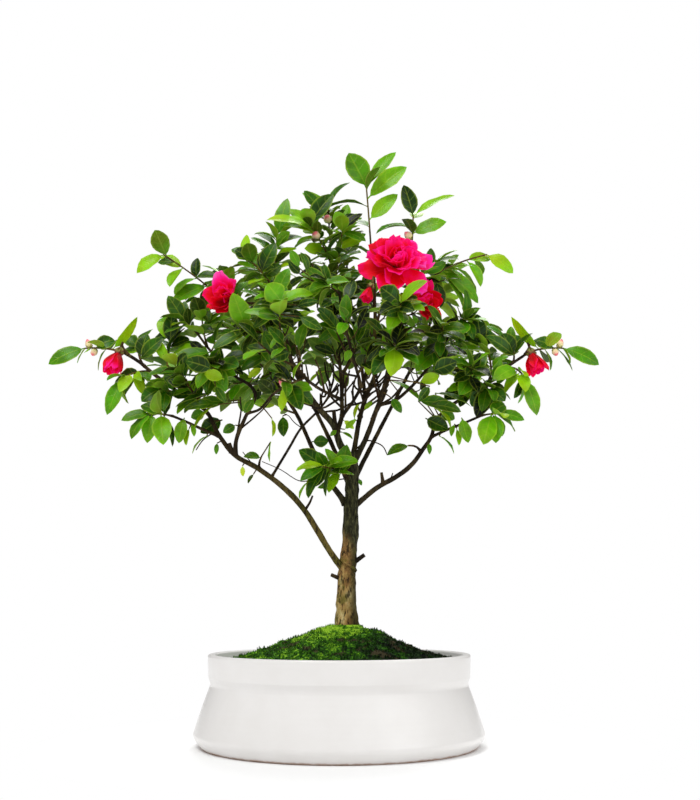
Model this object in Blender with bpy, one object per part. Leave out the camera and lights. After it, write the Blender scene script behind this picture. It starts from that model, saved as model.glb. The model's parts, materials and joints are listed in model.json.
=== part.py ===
"""A camellia bonsai in a round white pot, as one closed solid for each piece.

Metres, +Z up. The origin is the middle of the pot's underside, on the surface that the pot
stands on, and -Y is the side that the tree shows to the viewer.
"""

import math
import random

import bmesh
import bpy
from mathutils import Matrix, Quaternion, Vector, noise
from mathutils.bvhtree import BVHTree

UP = Vector((0, 0, 1))
VIEWER = Vector((0, -1, 0))
CROWN_MIDDLE = Vector((0.0, 0.02, 0.36))
GAP = 0.0003  # clearance between two pieces that touch
FINE = 1e-9
AHEAD_STEP = 0.02  # share of a path over which its direction is read
SHARP = math.radians(35)

# The pot: outside from the middle of its underside up to the lip, then the inside down to the floor.
POT_SIDES = 32
POT_OUTSIDE = (
    (0.1330, 0.0000),
    (0.1375, 0.0025),
    (0.1425, 0.0105),
    (0.1330, 0.0400),
    (0.1262, 0.0570),
    (0.1265, 0.0640),
    (0.1282, 0.0700),
    (0.1292, 0.0860),
    (0.1285, 0.0870),
)
POT_INSIDE = (
    (0.1215, 0.0870),
    (0.1205, 0.0860),
    (0.1180, 0.0600),
    (0.1245, 0.0400),
    (0.1330, 0.0130),
    (0.1300, 0.0090),
)
GRAVEL_TOP = 0.0200

# The ground: soil heaped up to the trunk, and a mat of moss over it.
MOUND_FOOT = 0.0790
MOUND_RISE = 0.0360
MOUND_POWER = 1.25
MOSS_THICK = 0.0065
MOSS_LUMP = 0.0032
MOSS_LUMP_SIZE = 0.0200
MOSS_SMALL_LUMP = 0.6  # height of the small cushions, as a share of the large ones
MOSS_SMALL_TIMES = 2.1  # how many times smaller they are
MOSS_LUMP_LAYOUT = 0.65  # another value gives another layout of cushions
MOSS_LEVEL = 0.125  # share of the mat that lies level at the trunk and at the pot
SOIL_SHARES = (0.0, 0.45, 1.0)
MOSS_SHARES = (0.0, 0.1, 0.24, 0.4, 0.58, 0.76, 0.9, 1.0)
ROOT_HOLE_GAP = 0.0005
ROOT_HOLE_STEPS = (0.104, 0.075, 0.0455)

# The trunk from its root stump in the soil to the fork, each point with the trunk's radius there.
TRUNK_SIDES = 10
TRUNK = (
    (0.007, 0.000, 0.046, 0.0080),
    (0.007, 0.000, 0.075, 0.0120),
    (0.007, 0.000, 0.104, 0.0150),
    (0.007, 0.000, 0.117, 0.0125),
    (0.007, 0.000, 0.139, 0.0101),
    (0.008, 0.000, 0.171, 0.0092),
    (0.011, 0.000, 0.207, 0.0084),
    (0.012, 0.000, 0.244, 0.0077),
    (0.013, 0.000, 0.270, 0.0068),
    (0.013, 0.000, 0.288, 0.0054),
)
# The limbs: radius at the start, radius at the end, and the points that each one runs through.
LIMB_SIDES = 5
LIMB_STEP = 0.037
THIN_LIMB = 0.0024
LIMBS = {
    "low_left": (0.0034, 0.0016, ((0.006, 0.000, 0.167), (-0.009, -0.004, 0.186), (-0.034, -0.010, 0.226),
        (-0.055, -0.016, 0.249), (-0.082, -0.020, 0.269), (-0.105, -0.022, 0.282), (-0.122, -0.020, 0.303),
        (-0.136, -0.016, 0.328), (-0.162, -0.012, 0.346), (-0.189, -0.008, 0.366), (-0.210, -0.006, 0.383),
        (-0.230, -0.004, 0.395))),
    "left_low_fork": (0.0017, 0.0013, ((-0.122, -0.020, 0.302), (-0.136, -0.025, 0.307),
        (-0.152, -0.030, 0.314), (-0.167, -0.034, 0.320))),
    "left_rise": (0.0022, 0.0013, ((-0.105, -0.022, 0.282), (-0.103, -0.027, 0.299), (-0.094, -0.031, 0.320),
        (-0.085, -0.030, 0.340), (-0.091, -0.026, 0.353), (-0.107, -0.020, 0.364), (-0.132, -0.014, 0.390),
        (-0.150, -0.008, 0.414))),
    "left_rise_fork": (0.0015, 0.0012, ((-0.093, -0.031, 0.323), (-0.079, -0.040, 0.326),
        (-0.067, -0.048, 0.338), (-0.055, -0.054, 0.346))),
    "thin_cross": (0.0014, 0.0011, ((-0.068, -0.018, 0.261), (-0.052, -0.010, 0.290),
        (-0.040, -0.004, 0.312), (-0.024, 0.006, 0.331), (-0.013, 0.016, 0.348), (-0.007, 0.028, 0.370))),
    "left_mid": (0.0031, 0.0013, ((0.006, 0.000, 0.236), (-0.010, 0.010, 0.258), (-0.021, 0.018, 0.277),
        (-0.032, 0.024, 0.302), (-0.045, 0.034, 0.331), (-0.058, 0.042, 0.353), (-0.074, 0.050, 0.380),
        (-0.091, 0.056, 0.409), (-0.104, 0.058, 0.438))),
    "centre_left": (0.0041, 0.0014, ((0.012, 0.000, 0.278), (0.001, -0.001, 0.295), (-0.007, -0.004, 0.316),
        (-0.023, -0.010, 0.334), (-0.038, -0.014, 0.355), (-0.048, -0.016, 0.375), (-0.055, -0.017, 0.402),
        (-0.062, -0.014, 0.435), (-0.068, -0.010, 0.466))),
    "centre_up": (0.0025, 0.0013, ((-0.003, -0.003, 0.309), (0.002, 0.002, 0.326), (0.002, 0.008, 0.344),
        (0.001, 0.013, 0.369), (-0.002, 0.018, 0.400), (-0.006, 0.018, 0.433), (-0.008, 0.015, 0.465),
        (-0.010, 0.012, 0.495))),
    "centre_fork": (0.0019, 0.0013, ((0.002, 0.002, 0.326), (0.013, -0.012, 0.338), (0.022, -0.024, 0.352),
        (0.029, -0.034, 0.367), (0.034, -0.042, 0.386), (0.036, -0.046, 0.411))),
    "leader": (0.0030, 0.0013, ((0.013, 0.000, 0.279), (0.016, 0.005, 0.298), (0.021, 0.011, 0.327),
        (0.029, 0.015, 0.353), (0.038, 0.018, 0.378), (0.040, 0.017, 0.411), (0.037, 0.013, 0.442),
        (0.034, 0.008, 0.476), (0.033, 0.003, 0.506))),
    "right_up": (0.0031, 0.0013, ((0.013, 0.000, 0.275), (0.027, -0.005, 0.302), (0.037, -0.009, 0.329),
        (0.048, -0.013, 0.357), (0.056, -0.015, 0.382), (0.063, -0.014, 0.414), (0.070, -0.010, 0.449),
        (0.075, -0.005, 0.492))),
    "right_fork": (0.0019, 0.0013, ((0.040, -0.009, 0.336), (0.057, -0.006, 0.341), (0.075, 0.004, 0.358),
        (0.092, 0.015, 0.379), (0.107, 0.020, 0.400), (0.118, 0.020, 0.420))),
    "low_right": (0.0029, 0.0014, ((0.012, 0.000, 0.230), (0.036, -0.002, 0.250), (0.057, -0.005, 0.262),
        (0.073, -0.008, 0.274), (0.085, -0.010, 0.290), (0.093, -0.012, 0.302), (0.098, -0.012, 0.318),
        (0.109, -0.010, 0.331), (0.129, -0.008, 0.345), (0.153, -0.006, 0.361), (0.174, -0.004, 0.377),
        (0.200, -0.002, 0.395))),
    "right_low_fork": (0.0016, 0.0012, ((0.093, -0.012, 0.302), (0.108, -0.020, 0.308),
        (0.125, -0.026, 0.314), (0.143, -0.032, 0.321))),
    "back_left": (0.0029, 0.0013, ((0.011, 0.000, 0.251), (0.003, 0.016, 0.272), (-0.011, 0.042, 0.307),
        (-0.031, 0.068, 0.351), (-0.052, 0.088, 0.396), (-0.069, 0.100, 0.435), (-0.080, 0.106, 0.465))),
    "back_right": (0.0029, 0.0013, ((0.013, 0.000, 0.257), (0.024, 0.018, 0.280), (0.041, 0.043, 0.316),
        (0.062, 0.068, 0.359), (0.083, 0.088, 0.403), (0.098, 0.099, 0.438), (0.107, 0.104, 0.466))),
    "back_mid": (0.0022, 0.0013, ((0.021, 0.011, 0.327), (0.026, 0.040, 0.356), (0.023, 0.068, 0.395),
        (0.017, 0.088, 0.440), (0.011, 0.094, 0.479), (0.007, 0.088, 0.513))),
    "front_left": (0.0018, 0.0012, ((0.002, 0.007, 0.344), (-0.011, -0.022, 0.345), (-0.023, -0.048, 0.347),
        (-0.037, -0.076, 0.354), (-0.048, -0.096, 0.369), (-0.056, -0.106, 0.390))),
    "front_right": (0.0018, 0.0012, ((0.034, -0.008, 0.321), (0.042, -0.032, 0.341), (0.047, -0.058, 0.360),
        (0.053, -0.080, 0.382), (0.060, -0.092, 0.404))),
    "front_mid": (0.0017, 0.0012, ((0.022, -0.024, 0.352), (0.017, -0.050, 0.364), (0.011, -0.075, 0.381),
        (0.004, -0.090, 0.406), (0.000, -0.096, 0.430))),
}
# Cut-back stubs on the trunk and the limbs: limb, share along it, which way, length, radius.
STUBS = (
    ("trunk", 0.52, (0.80, -0.20, 0.55), 0.021, 0.0021),
    ("trunk", 0.46, (-0.85, -0.35, 0.35), 0.018, 0.0018),
    ("centre_left", 0.17, (-0.10, -0.20, 0.97), 0.022, 0.0019),
    ("low_left", 0.50, (-0.25, -0.30, 0.90), 0.010, 0.0016),
    ("low_right", 0.16, (-0.15, -0.25, 0.95), 0.012, 0.0014),
)
# The leafy shoots: name, limb, share along it, tip of the shoot, number of leaves.
SHOOT_LEAF_STEP = 0.0068
SHOOTS = (
    ("far_left", "low_left", 1.00, (-0.266, -0.002, 0.397), 6),
    ("left_upright", "low_left", 0.90, (-0.212, 0.008, 0.403), 6),
    ("left_drooping", "low_left", 0.87, (-0.221, -0.024, 0.360), 7),
    ("left_shoulder", "low_left", 0.78, (-0.176, 0.002, 0.413), 7),
    ("left_under", "low_left", 0.74, (-0.183, -0.022, 0.350), 7),
    ("left_hem", "left_low_fork", 1.00, (-0.189, -0.036, 0.322), 8),
    ("left_flank", "low_left", 0.64, (-0.163, -0.046, 0.368), 8),
    ("left_crest", "left_rise", 1.00, (-0.165, -0.005, 0.427), 9),
    ("left_bloom_leaves", "left_rise", 0.86, (-0.144, -0.006, 0.444), 8),
    ("left_inner", "left_rise", 0.66, (-0.126, -0.052, 0.367), 9),
    ("left_bright", "left_rise_fork", 1.00, (-0.047, -0.066, 0.346), 5),
    ("limb_tuft", "low_left", 0.40, (-0.078, -0.024, 0.281), 1),
    ("left_outlier", "left_mid", 1.00, (-0.192, 0.022, 0.507), 9),
    ("left_back_crest", "left_mid", 0.84, (-0.131, 0.050, 0.493), 9),
    ("left_back_low", "left_mid", 0.60, (-0.122, 0.086, 0.375), 8),
    ("crossing_tip", "thin_cross", 1.00, (-0.016, 0.080, 0.418), 9),
    ("crown_left", "centre_left", 0.92, (-0.098, -0.022, 0.491), 9),
    ("crown_left_high", "centre_left", 1.00, (-0.066, -0.012, 0.516), 8),
    ("crown_left_front", "centre_left", 0.78, (-0.067, -0.056, 0.438), 9),
    ("crown_left_low", "centre_left", 0.62, (-0.095, -0.060, 0.402), 8),
    ("crown_mid_high", "centre_up", 1.00, (-0.033, -0.006, 0.531), 7),
    ("crown_mid_bud", "centre_up", 0.88, (-0.013, 0.008, 0.554), 6),
    ("crown_mid_left", "centre_up", 0.74, (0.003, -0.002, 0.527), 8),
    ("crown_mid_front", "centre_up", 0.62, (0.004, -0.034, 0.455), 9),
    ("top", "leader", 1.00, (0.028, -0.004, 0.574), 7),
    ("top_right", "right_up", 1.00, (0.078, -0.002, 0.542), 7),
    ("crown_right", "right_up", 0.80, (0.103, 0.010, 0.495), 9),
    ("right_outlier", "right_up", 0.68, (0.159, 0.022, 0.507), 9),
    ("right_crest", "right_fork", 1.00, (0.132, -0.005, 0.427), 9),
    ("right_inner", "right_fork", 0.66, (0.104, -0.036, 0.412), 9),
    ("far_right", "low_right", 1.00, (0.233, -0.002, 0.397), 6),
    ("right_upright", "low_right", 0.90, (0.179, 0.008, 0.403), 6),
    ("right_drooping", "low_right", 0.87, (0.188, -0.024, 0.360), 7),
    ("right_shoulder", "low_right", 0.78, (0.143, 0.002, 0.413), 7),
    ("right_under", "low_right", 0.74, (0.150, -0.022, 0.350), 7),
    ("right_hem", "right_low_fork", 1.00, (0.156, -0.036, 0.322), 8),
    ("right_flank", "low_right", 0.64, (0.130, -0.046, 0.368), 8),
    ("right_tuft", "low_right", 0.36, (0.069, -0.020, 0.292), 1),
    ("trunk_tuft", "trunk", 0.86, (-0.017, -0.034, 0.269), 7),
    ("front_left_tip", "front_left", 1.00, (-0.054, -0.114, 0.415), 8),
    ("front_mid_tip", "front_mid", 1.00, (-0.020, -0.098, 0.438), 8),
    ("front_right_tip", "front_right", 1.00, (0.058, -0.108, 0.416), 8),
    ("front_right_low", "front_right", 0.66, (0.054, -0.098, 0.376), 8),
    ("back_left_tip", "back_left", 1.00, (-0.100, 0.128, 0.527), 8),
    ("back_left_side", "back_left", 0.66, (-0.142, 0.108, 0.452), 8),
    ("back_mid_tip", "back_mid", 1.00, (0.004, 0.078, 0.560), 8),
    ("back_mid_low", "back_mid", 0.52, (0.020, 0.128, 0.432), 8),
    ("back_right_tip", "back_right", 1.00, (0.126, 0.124, 0.521), 8),
    ("back_right_side", "back_right", 0.66, (0.160, 0.102, 0.445), 8),
)
SHOOT_SIDES = 3
SHOOT_TIP_RADIUS = 0.0008
SHOOT_CLEAR = 0.0008
BARE_LEAST = 0.008  # bare branch between a limb and the first leaf
PATH_END = 0.985  # share of a limb or a shoot where what grows on from its end is rooted
BRANCH_SIDES = 4
BRANCH_RADIUS = 0.0015
BRANCH_STEP = 0.043
BRANCH_LEAVES = 0.45  # share of its span along which a branch runs on before it turns to its tip
BRANCH_TURNS = 20
PUSHES = (0.008, 0.016, 0.026)  # how far a branch's middle may be pushed aside to run clear
PUSH_WAYS = 8

# Leaves that show most, each at its own place: shoot, share along it, tip of the leaf, width, the way that
# its upper side faces, bend. They are mirrored in PAIRS about the plane x = MIRROR_X.
MIRROR_X = -0.0165
SHOWN_SHIFTS = (0.0, 0.005, -0.005, 0.010, -0.010, 0.016)  # ways nearer to the viewer until a leaf is free
SHOWN_LEAVES = (
    ("top", 0.98, (0.009, -0.008, 0.611), 0.027, (0.00, -0.95, 0.30), 0.20),
    ("top", 0.99, (0.059, 0.000, 0.616), 0.015, (0.00, -0.80, 0.60), 0.40),
    ("top", 0.72, (0.072, -0.011, 0.593), 0.021, (0.00, -0.95, 0.30), 0.45),
    ("top", 0.23, (0.062, -0.007, 0.564), 0.018, (0.00, -0.95, 0.30), 0.35),
    ("top", 0.54, (-0.016, 0.006, 0.552), 0.017, (0.00, -0.28, 0.96), 1.10),
    ("top_right", 0.99, (0.069, -0.008, 0.575), 0.018, (0.00, -0.95, 0.30), 0.25),
    ("top_right", 0.99, (0.123, -0.004, 0.564), 0.015, (0.00, -0.65, 0.76), 0.60),
    ("top_right", 0.54, (0.113, -0.011, 0.531), 0.018, (0.00, -0.95, 0.30), 0.70),
    ("top_right", 0.69, (0.038, -0.001, 0.522), 0.015, (0.00, -0.45, 0.89), 1.00),
    ("left_outlier", 0.99, (-0.220, 0.020, 0.486), 0.017, (0.00, -0.95, 0.30), 0.65),
    ("left_outlier", 0.58, (-0.198, 0.040, 0.510), 0.015, (0.00, -0.95, 0.30), 0.45),
    ("left_outlier", 0.58, (-0.184, 0.020, 0.470), 0.017, (-0.45, -0.75, 0.50), 0.40),
    ("left_outlier", 0.31, (-0.132, 0.030, 0.482), 0.015, (0.00, -0.80, 0.60), 0.60),
    ("left_outlier", 0.27, (-0.180, 0.029, 0.464), 0.016, (0.00, -0.45, 0.89), 0.90),
    ("left_outlier", 0.04, (-0.182, 0.030, 0.454), 0.019, (0.00, -0.95, 0.30), 0.85),
    ("left_outlier", 0.07, (-0.169, 0.023, 0.438), 0.015, (-0.45, -0.75, 0.50), 0.60),
    ("far_left", 0.99, (-0.301, -0.008, 0.378), 0.018, (0.00, -0.95, 0.30), 0.75),
    ("far_left", 0.99, (-0.271, -0.010, 0.379), 0.009, (-0.88, -0.35, 0.30), 0.35),
    ("far_left", 0.62, (-0.236, 0.001, 0.407), 0.017, (0.00, -0.95, 0.30), 1.20),
    ("far_left", 0.06, (-0.214, 0.002, 0.433), 0.012, (0.88, -0.35, 0.30), 0.55),
    ("far_left", 0.27, (-0.252, 0.003, 0.374), 0.012, (-0.88, -0.35, 0.30), 0.70),
    ("left_upright", 0.87, (-0.227, 0.010, 0.412), 0.015, (0.00, -0.95, 0.30), 0.50),
    ("left_upright", 0.18, (-0.202, -0.001, 0.413), 0.018, (0.00, -0.95, 0.30), 0.40),
    ("left_upright", 0.04, (-0.184, -0.007, 0.407), 0.017, (0.00, -0.95, 0.30), 0.50),
    ("left_drooping", 0.99, (-0.232, -0.032, 0.321), 0.016, (0.00, -0.95, 0.30), 0.45),
    ("left_drooping", 0.98, (-0.214, -0.030, 0.335), 0.012, (-0.88, -0.35, 0.30), 0.50),
    ("left_drooping", 0.54, (-0.220, -0.030, 0.343), 0.014, (0.00, -0.80, 0.60), 0.50),
    ("left_drooping", 0.43, (-0.200, -0.020, 0.345), 0.012, (0.45, -0.75, 0.50), 0.60),
    ("left_drooping", 0.19, (-0.206, -0.007, 0.354), 0.012, (0.45, -0.75, 0.50), 0.40),
    ("left_drooping", 0.04, (-0.194, -0.007, 0.357), 0.013, (0.45, -0.75, 0.50), 0.50),
    ("left_shoulder", 0.76, (-0.177, -0.002, 0.434), 0.017, (0.00, -0.95, 0.30), 0.50),
    ("left_shoulder", 0.96, (-0.195, -0.002, 0.408), 0.015, (0.00, -0.80, 0.60), 0.80),
    ("left_shoulder", 0.66, (-0.156, -0.007, 0.405), 0.015, (0.00, -0.80, 0.60), 0.80),
    ("left_under", 0.91, (-0.200, -0.029, 0.336), 0.017, (0.00, -0.95, 0.30), 0.70),
    ("left_under", 0.56, (-0.177, -0.032, 0.325), 0.014, (0.00, -0.80, 0.60), 0.50),
    ("left_hem", 0.99, (-0.217, -0.040, 0.315), 0.015, (0.00, -0.80, 0.60), 0.60),
    ("left_hem", 0.05, (-0.199, -0.031, 0.332), 0.019, (0.00, -0.80, 0.60), 0.60),
    ("left_hem", 0.87, (-0.188, -0.044, 0.291), 0.016, (0.00, -0.95, 0.30), 0.30),
    ("left_hem", 0.20, (-0.172, -0.047, 0.288), 0.020, (0.00, -0.95, 0.30), 0.40),
    ("left_hem", 0.04, (-0.166, -0.033, 0.289), 0.013, (0.88, -0.35, 0.30), 0.40),
    ("limb_tuft", 0.60, (-0.096, -0.027, 0.279), 0.011, (0.00, -0.80, 0.60), 0.70),
    ("right_tuft", 0.84, (0.048, -0.026, 0.281), 0.012, (0.00, -0.80, 0.60), 0.90),
    ("trunk_tuft", 0.66, (0.019, -0.031, 0.275), 0.016, (0.00, -0.80, 0.60), 1.00),
    ("trunk_tuft", 0.97, (-0.040, -0.037, 0.286), 0.017, (0.00, -0.95, 0.30), 0.50),
    ("trunk_tuft", 0.99, (-0.045, -0.042, 0.267), 0.014, (0.00, -0.45, 0.89), 0.60),
    ("trunk_tuft", 0.39, (0.010, -0.020, 0.263), 0.014, (0.00, -0.45, 0.89), 0.60),
    ("trunk_tuft", 0.88, (-0.030, -0.039, 0.237), 0.016, (-0.45, -0.75, 0.50), 0.60),
    ("trunk_tuft", 0.66, (-0.013, -0.035, 0.239), 0.011, (-0.88, -0.35, 0.30), 0.40),
    ("left_bright", 0.04, (-0.055, -0.065, 0.319), 0.013, (-0.45, -0.75, 0.50), 0.40),
    ("left_bright", 0.55, (-0.036, -0.070, 0.319), 0.015, (0.45, -0.75, 0.50), 0.50),
    ("crown_left_high", 0.98, (-0.057, -0.008, 0.560), 0.017, (0.00, -0.95, 0.30), 0.30),
    ("crown_left_high", 0.88, (-0.090, -0.020, 0.515), 0.010, (0.00, -0.45, 0.89), 1.20),
    ("crown_left_high", 0.78, (-0.052, -0.019, 0.518), 0.013, (0.45, -0.75, 0.50), 0.50),
    ("crown_mid_high", 0.99, (-0.008, -0.010, 0.564), 0.020, (0.00, -0.95, 0.30), 0.40),
    ("crown_mid_high", 0.89, (-0.077, -0.012, 0.529), 0.019, (0.00, -0.80, 0.60), 0.70),
    ("crown_mid_high", 0.86, (-0.057, 0.003, 0.552), 0.015, (0.00, -0.80, 0.60), 0.60),
    ("crown_mid_high", 0.71, (-0.061, -0.013, 0.526), 0.016, (0.00, -0.80, 0.60), 0.90),
    ("crown_mid_bud", 0.97, (-0.041, 0.012, 0.574), 0.017, (0.00, -0.80, 0.60), 0.60),
    ("crown_mid_bud", 0.99, (0.010, 0.016, 0.587), 0.014, (0.00, -0.28, 0.96), 0.80),
    ("crown_mid_left", 0.99, (-0.005, -0.008, 0.545), 0.015, (0.00, -0.95, 0.30), 0.30),
    ("crown_mid_left", 0.99, (0.024, -0.004, 0.544), 0.013, (0.00, -0.80, 0.60), 0.50),
    ("crown_mid_left", 0.94, (0.027, -0.009, 0.511), 0.015, (0.00, -0.80, 0.60), 0.60),
    ("crown_left", 0.93, (-0.109, -0.023, 0.497), 0.015, (0.00, -0.95, 0.30), 0.50),
    ("crown_left", 0.47, (-0.067, -0.022, 0.505), 0.019, (0.00, -0.95, 0.30), 0.50),
    ("crown_left", 0.33, (-0.061, -0.025, 0.482), 0.016, (0.45, -0.75, 0.50), 0.60),
    ("front_left_tip", 0.99, (-0.068, -0.120, 0.431), 0.024, (0.00, -0.95, 0.30), 0.40),
    ("front_left_tip", 0.86, (-0.073, -0.109, 0.419), 0.015, (0.00, -0.45, 0.89), 0.80),
    ("front_left_tip", 0.56, (-0.026, -0.116, 0.405), 0.015, (0.00, -0.45, 0.89), 0.70),
    ("crown_left_low", 0.96, (-0.114, -0.064, 0.412), 0.015, (0.00, -0.45, 0.89), 0.50),
    ("crown_left_low", 0.94, (-0.103, -0.060, 0.436), 0.021, (0.00, -0.95, 0.30), 0.40),
    ("crown_left_low", 0.82, (-0.057, -0.061, 0.426), 0.016, (0.00, -0.80, 0.60), 0.40),
    ("crown_left_low", 0.88, (-0.124, -0.065, 0.381), 0.015, (0.00, -0.80, 0.60), 0.60),
    ("crown_left_low", 0.47, (-0.069, -0.049, 0.372), 0.015, (0.00, -0.80, 0.60), 0.40),
    ("front_mid_tip", 0.86, (-0.040, -0.100, 0.433), 0.015, (0.00, -0.45, 0.89), 1.10),
    ("front_mid_tip", 0.59, (-0.037, -0.104, 0.418), 0.016, (0.00, -0.80, 0.60), 0.50),
    ("front_mid_tip", 0.74, (0.010, -0.102, 0.438), 0.015, (0.00, -0.80, 0.60), 0.80),
    ("front_mid_tip", 0.95, (-0.028, -0.100, 0.459), 0.015, (0.00, -0.95, 0.30), 0.40),
    ("front_mid_tip", 0.04, (0.018, -0.101, 0.424), 0.014, (0.00, -0.28, 0.96), 0.60),
    ("front_right_tip", 0.99, (0.039, -0.112, 0.430), 0.020, (0.00, -0.95, 0.30), 0.40),
    ("front_right_tip", 0.04, (0.026, -0.104, 0.408), 0.020, (0.00, -0.45, 0.89), 0.50),
    ("front_right_tip", 0.13, (0.085, -0.103, 0.415), 0.016, (0.00, -0.80, 0.60), 0.60),
    ("front_right_low", 0.81, (0.031, -0.098, 0.377), 0.014, (0.00, -0.45, 0.89), 0.60),
    ("front_right_low", 0.61, (0.076, -0.094, 0.367), 0.014, (0.00, -0.45, 0.89), 0.70),
    ("front_right_low", 0.95, (0.060, -0.095, 0.399), 0.016, (0.00, -0.95, 0.30), 0.40),
    ("left_bloom_leaves", 0.94, (-0.136, -0.014, 0.422), 0.012, (0.00, -0.95, 0.30), 0.40),
    ("crown_left_front", 0.75, (-0.052, -0.051, 0.469), 0.016, (0.00, -0.95, 0.30), 0.40),
    ("crown_left_front", 0.51, (-0.094, -0.046, 0.424), 0.017, (0.00, -0.80, 0.60), 0.60),
    ("left_inner", 0.04, (-0.098, -0.035, 0.361), 0.016, (0.00, -0.80, 0.60), 0.60),
    ("left_inner", 0.04, (-0.089, -0.031, 0.384), 0.017, (0.00, -0.80, 0.60), 0.50),
)
PAIRS = {"far_left": "far_right", "left_upright": "right_upright", "left_drooping": "right_drooping",
         "left_shoulder": "right_shoulder", "left_under": "right_under", "left_hem": "right_hem",
         "left_crest": "right_crest", "left_outlier": "right_outlier", "left_flank": "right_flank"}

# A leaf: stations as a share of its length, and of half its width.
LEAF_LENGTH = 0.0340
LEAF_SLENDER = 0.54
LEAF_STATIONS = ((0.31, 0.90), (0.68, 0.86))
LEAF_THICK = 0.0008
LEAF_FOLD = 0.14
LEAF_CLEAR = 0.0007  # extra thickness all round while a leaf looks for free space
FIRST_LEAF, LAST_LEAF = 0.08, 0.92  # shares of a shoot between which its side leaves stand
OPEN_AT_FOOT, OPEN_AT_TIP, OPEN_END_LEAF = 62, 32, 15  # degrees between a leaf and its shoot
OPEN_VARIES = 10
TURN_VARIES = 0.25
LEAF_SAG = 0.10
LEAF_LENGTH_VARIES = (0.86, 1.08)
LEAF_WIDTH_VARIES = (0.92, 1.08)
LEAF_BEND_VARIES = (0.35, 0.95)
END_LEAF_SIZE = 0.88
FACE_SKY, FACE_VIEWER, FACE_OUT, FACE_AHEAD = 0.60, 0.45, 0.35, 0.10  # where upper sides turn to
AT_THE_BACK = 0.35  # outward direction past which leaves turn away from the viewer
FACE_AWAY = -0.10
GOLDEN_TURN = math.radians(137.5)
LEAF_TRIES = 10
LEAF_SHRINK = 0.03  # how much smaller a leaf is at each new try
LEAF_NEAR = 0.06  # two leaves whose middles are further apart than this can't meet
LEAF_SEED = 100

# The open bloom and the others: place of the petals' root, way it faces, limb and share that carry it,
# and its whorls of petals: count, tilt from the facing in degrees, length, width, bend.
PETAL_STATIONS = ((0.28, 0.52), (0.70, 1.00), (0.98, 0.70))
PETAL_THICK = 0.0010
PETAL_CUP = 0.30
PETAL_NOTCH = 0.05
PETAL_ROOT_BACK = 0.0035
PETAL_ROOT_OUT = 0.0007
PETAL_LEAN = 0.2
TILT_EVEN, TILT_ODD = -4, 5  # degrees that neighbours in a whorl differ from its tilt
PETAL_SIZE_VARIES = 0.05
FIRST_WHORL_TURN, WHORL_TURN = 0.40, 0.37
STALK_RADII = (0.0016, 0.0014, 0.0013, 0.0013)
STALK_RUN = 0.006
STALK_RISE = 0.004
CALYX_SIDES = 6
CALYX = ((0.0090, 0.0014), (0.0045, 0.0042), (-0.0010, 0.0040), (-0.0040, 0.0020))
HALF_OPEN = ((5, 54, 0.0300, 0.0220, -0.30), (2, 22, 0.0210, 0.0170, -0.40))
CLOSED_CUP = ((5, 32, 0.0270, 0.0185, -0.50),)
BLOOMS = (
    ("open_bloom", (0.058, -0.058, 0.470), (0.10, -0.90, 0.42), "centre_fork", 1.0, (
        (6, 82, 0.0400, 0.0300, 0.35), (5, 56, 0.0320, 0.0250, 0.05), (3, 26, 0.0240, 0.0200, -0.50))),
    ("left_bloom", (-0.114, -0.030, 0.443), (-0.45, -0.85, 0.10), "centre_left", 0.84, HALF_OPEN),
    ("right_bloom", (0.083, -0.006, 0.444), (0.60, -0.70, -0.05), "right_up", 0.72, HALF_OPEN),
    ("left_tip_bloom", (-0.229, -0.012, 0.388), (-0.22, -0.35, -0.91), "low_left", 0.965, CLOSED_CUP),
    ("right_tip_bloom", (0.199, -0.010, 0.388), (0.22, -0.35, -0.91), "low_right", 0.965, CLOSED_CUP),
    ("hanging_bloom", (0.029, -0.083, 0.436), (-0.35, -0.30, -0.89), "centre_fork", 0.86,
        ((3, 34, 0.0165, 0.0130, -0.50),)),
)
# What leaves must not hang in front of: middle and radius.
KEEP_IN_SIGHT = (((0.058, -0.058, 0.470), 0.036), ((-0.118, -0.036, 0.443), 0.015),
                 ((-0.232, -0.016, 0.378), 0.012), ((0.202, -0.014, 0.378), 0.012))
SIGHT_MARGIN = 0.004
SIGHT_DEPTH = 0.012
# Flower buds on the shoots: shoot, share along it, way it points, length.
BUDS = (
    ("far_left", 0.80, (-0.30, -0.40, 0.85), 0.0100),
    ("far_left", 0.62, (-0.20, -0.50, -0.80), 0.0095),
    ("far_right", 0.80, (0.30, -0.40, 0.85), 0.0100),
    ("far_right", 0.62, (0.20, -0.50, -0.80), 0.0095),
    ("crown_mid_high", 0.55, (-0.25, -0.90, 0.30), 0.0120),
    ("crown_mid_bud", 0.62, (-0.20, -0.90, 0.30), 0.0120),
    ("left_bright", 0.55, (-0.70, -0.60, 0.10), 0.0130),
    ("top_right", 0.40, (-0.70, -0.50, 0.50), 0.0110),
)
BUD_SIDES = 5
BUD_SHAPE = ((0.10, 0.16), (0.42, 0.36), (0.78, 0.26))

COLOURS = {  # base colour, roughness
    "glazed_white": ((0.86, 0.86, 0.85, 1), 0.35),
    "gravel": ((0.42, 0.33, 0.24, 1), 0.9),
    "soil": ((0.09, 0.06, 0.04, 1), 0.95),
    "moss": ((0.09, 0.22, 0.03, 1), 0.95),
    "bark": ((0.30, 0.24, 0.14, 1), 0.85),
    "leaf": ((0.07, 0.26, 0.03, 1), 0.4),
    "petal": ((0.82, 0.01, 0.14, 1), 0.55),
}


def clear_scene():
    for obj in list(bpy.data.objects):
        bpy.data.objects.remove(obj, do_unlink=True)


def material(name):
    made = bpy.data.materials.get(name)
    if made is None:
        made = bpy.data.materials.new(name)
        made.use_nodes = True
        shader = made.node_tree.nodes["Principled BSDF"]
        colour, roughness = COLOURS[name]
        shader.inputs["Base Color"].default_value = colour
        shader.inputs["Roughness"].default_value = roughness
    return made


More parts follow.
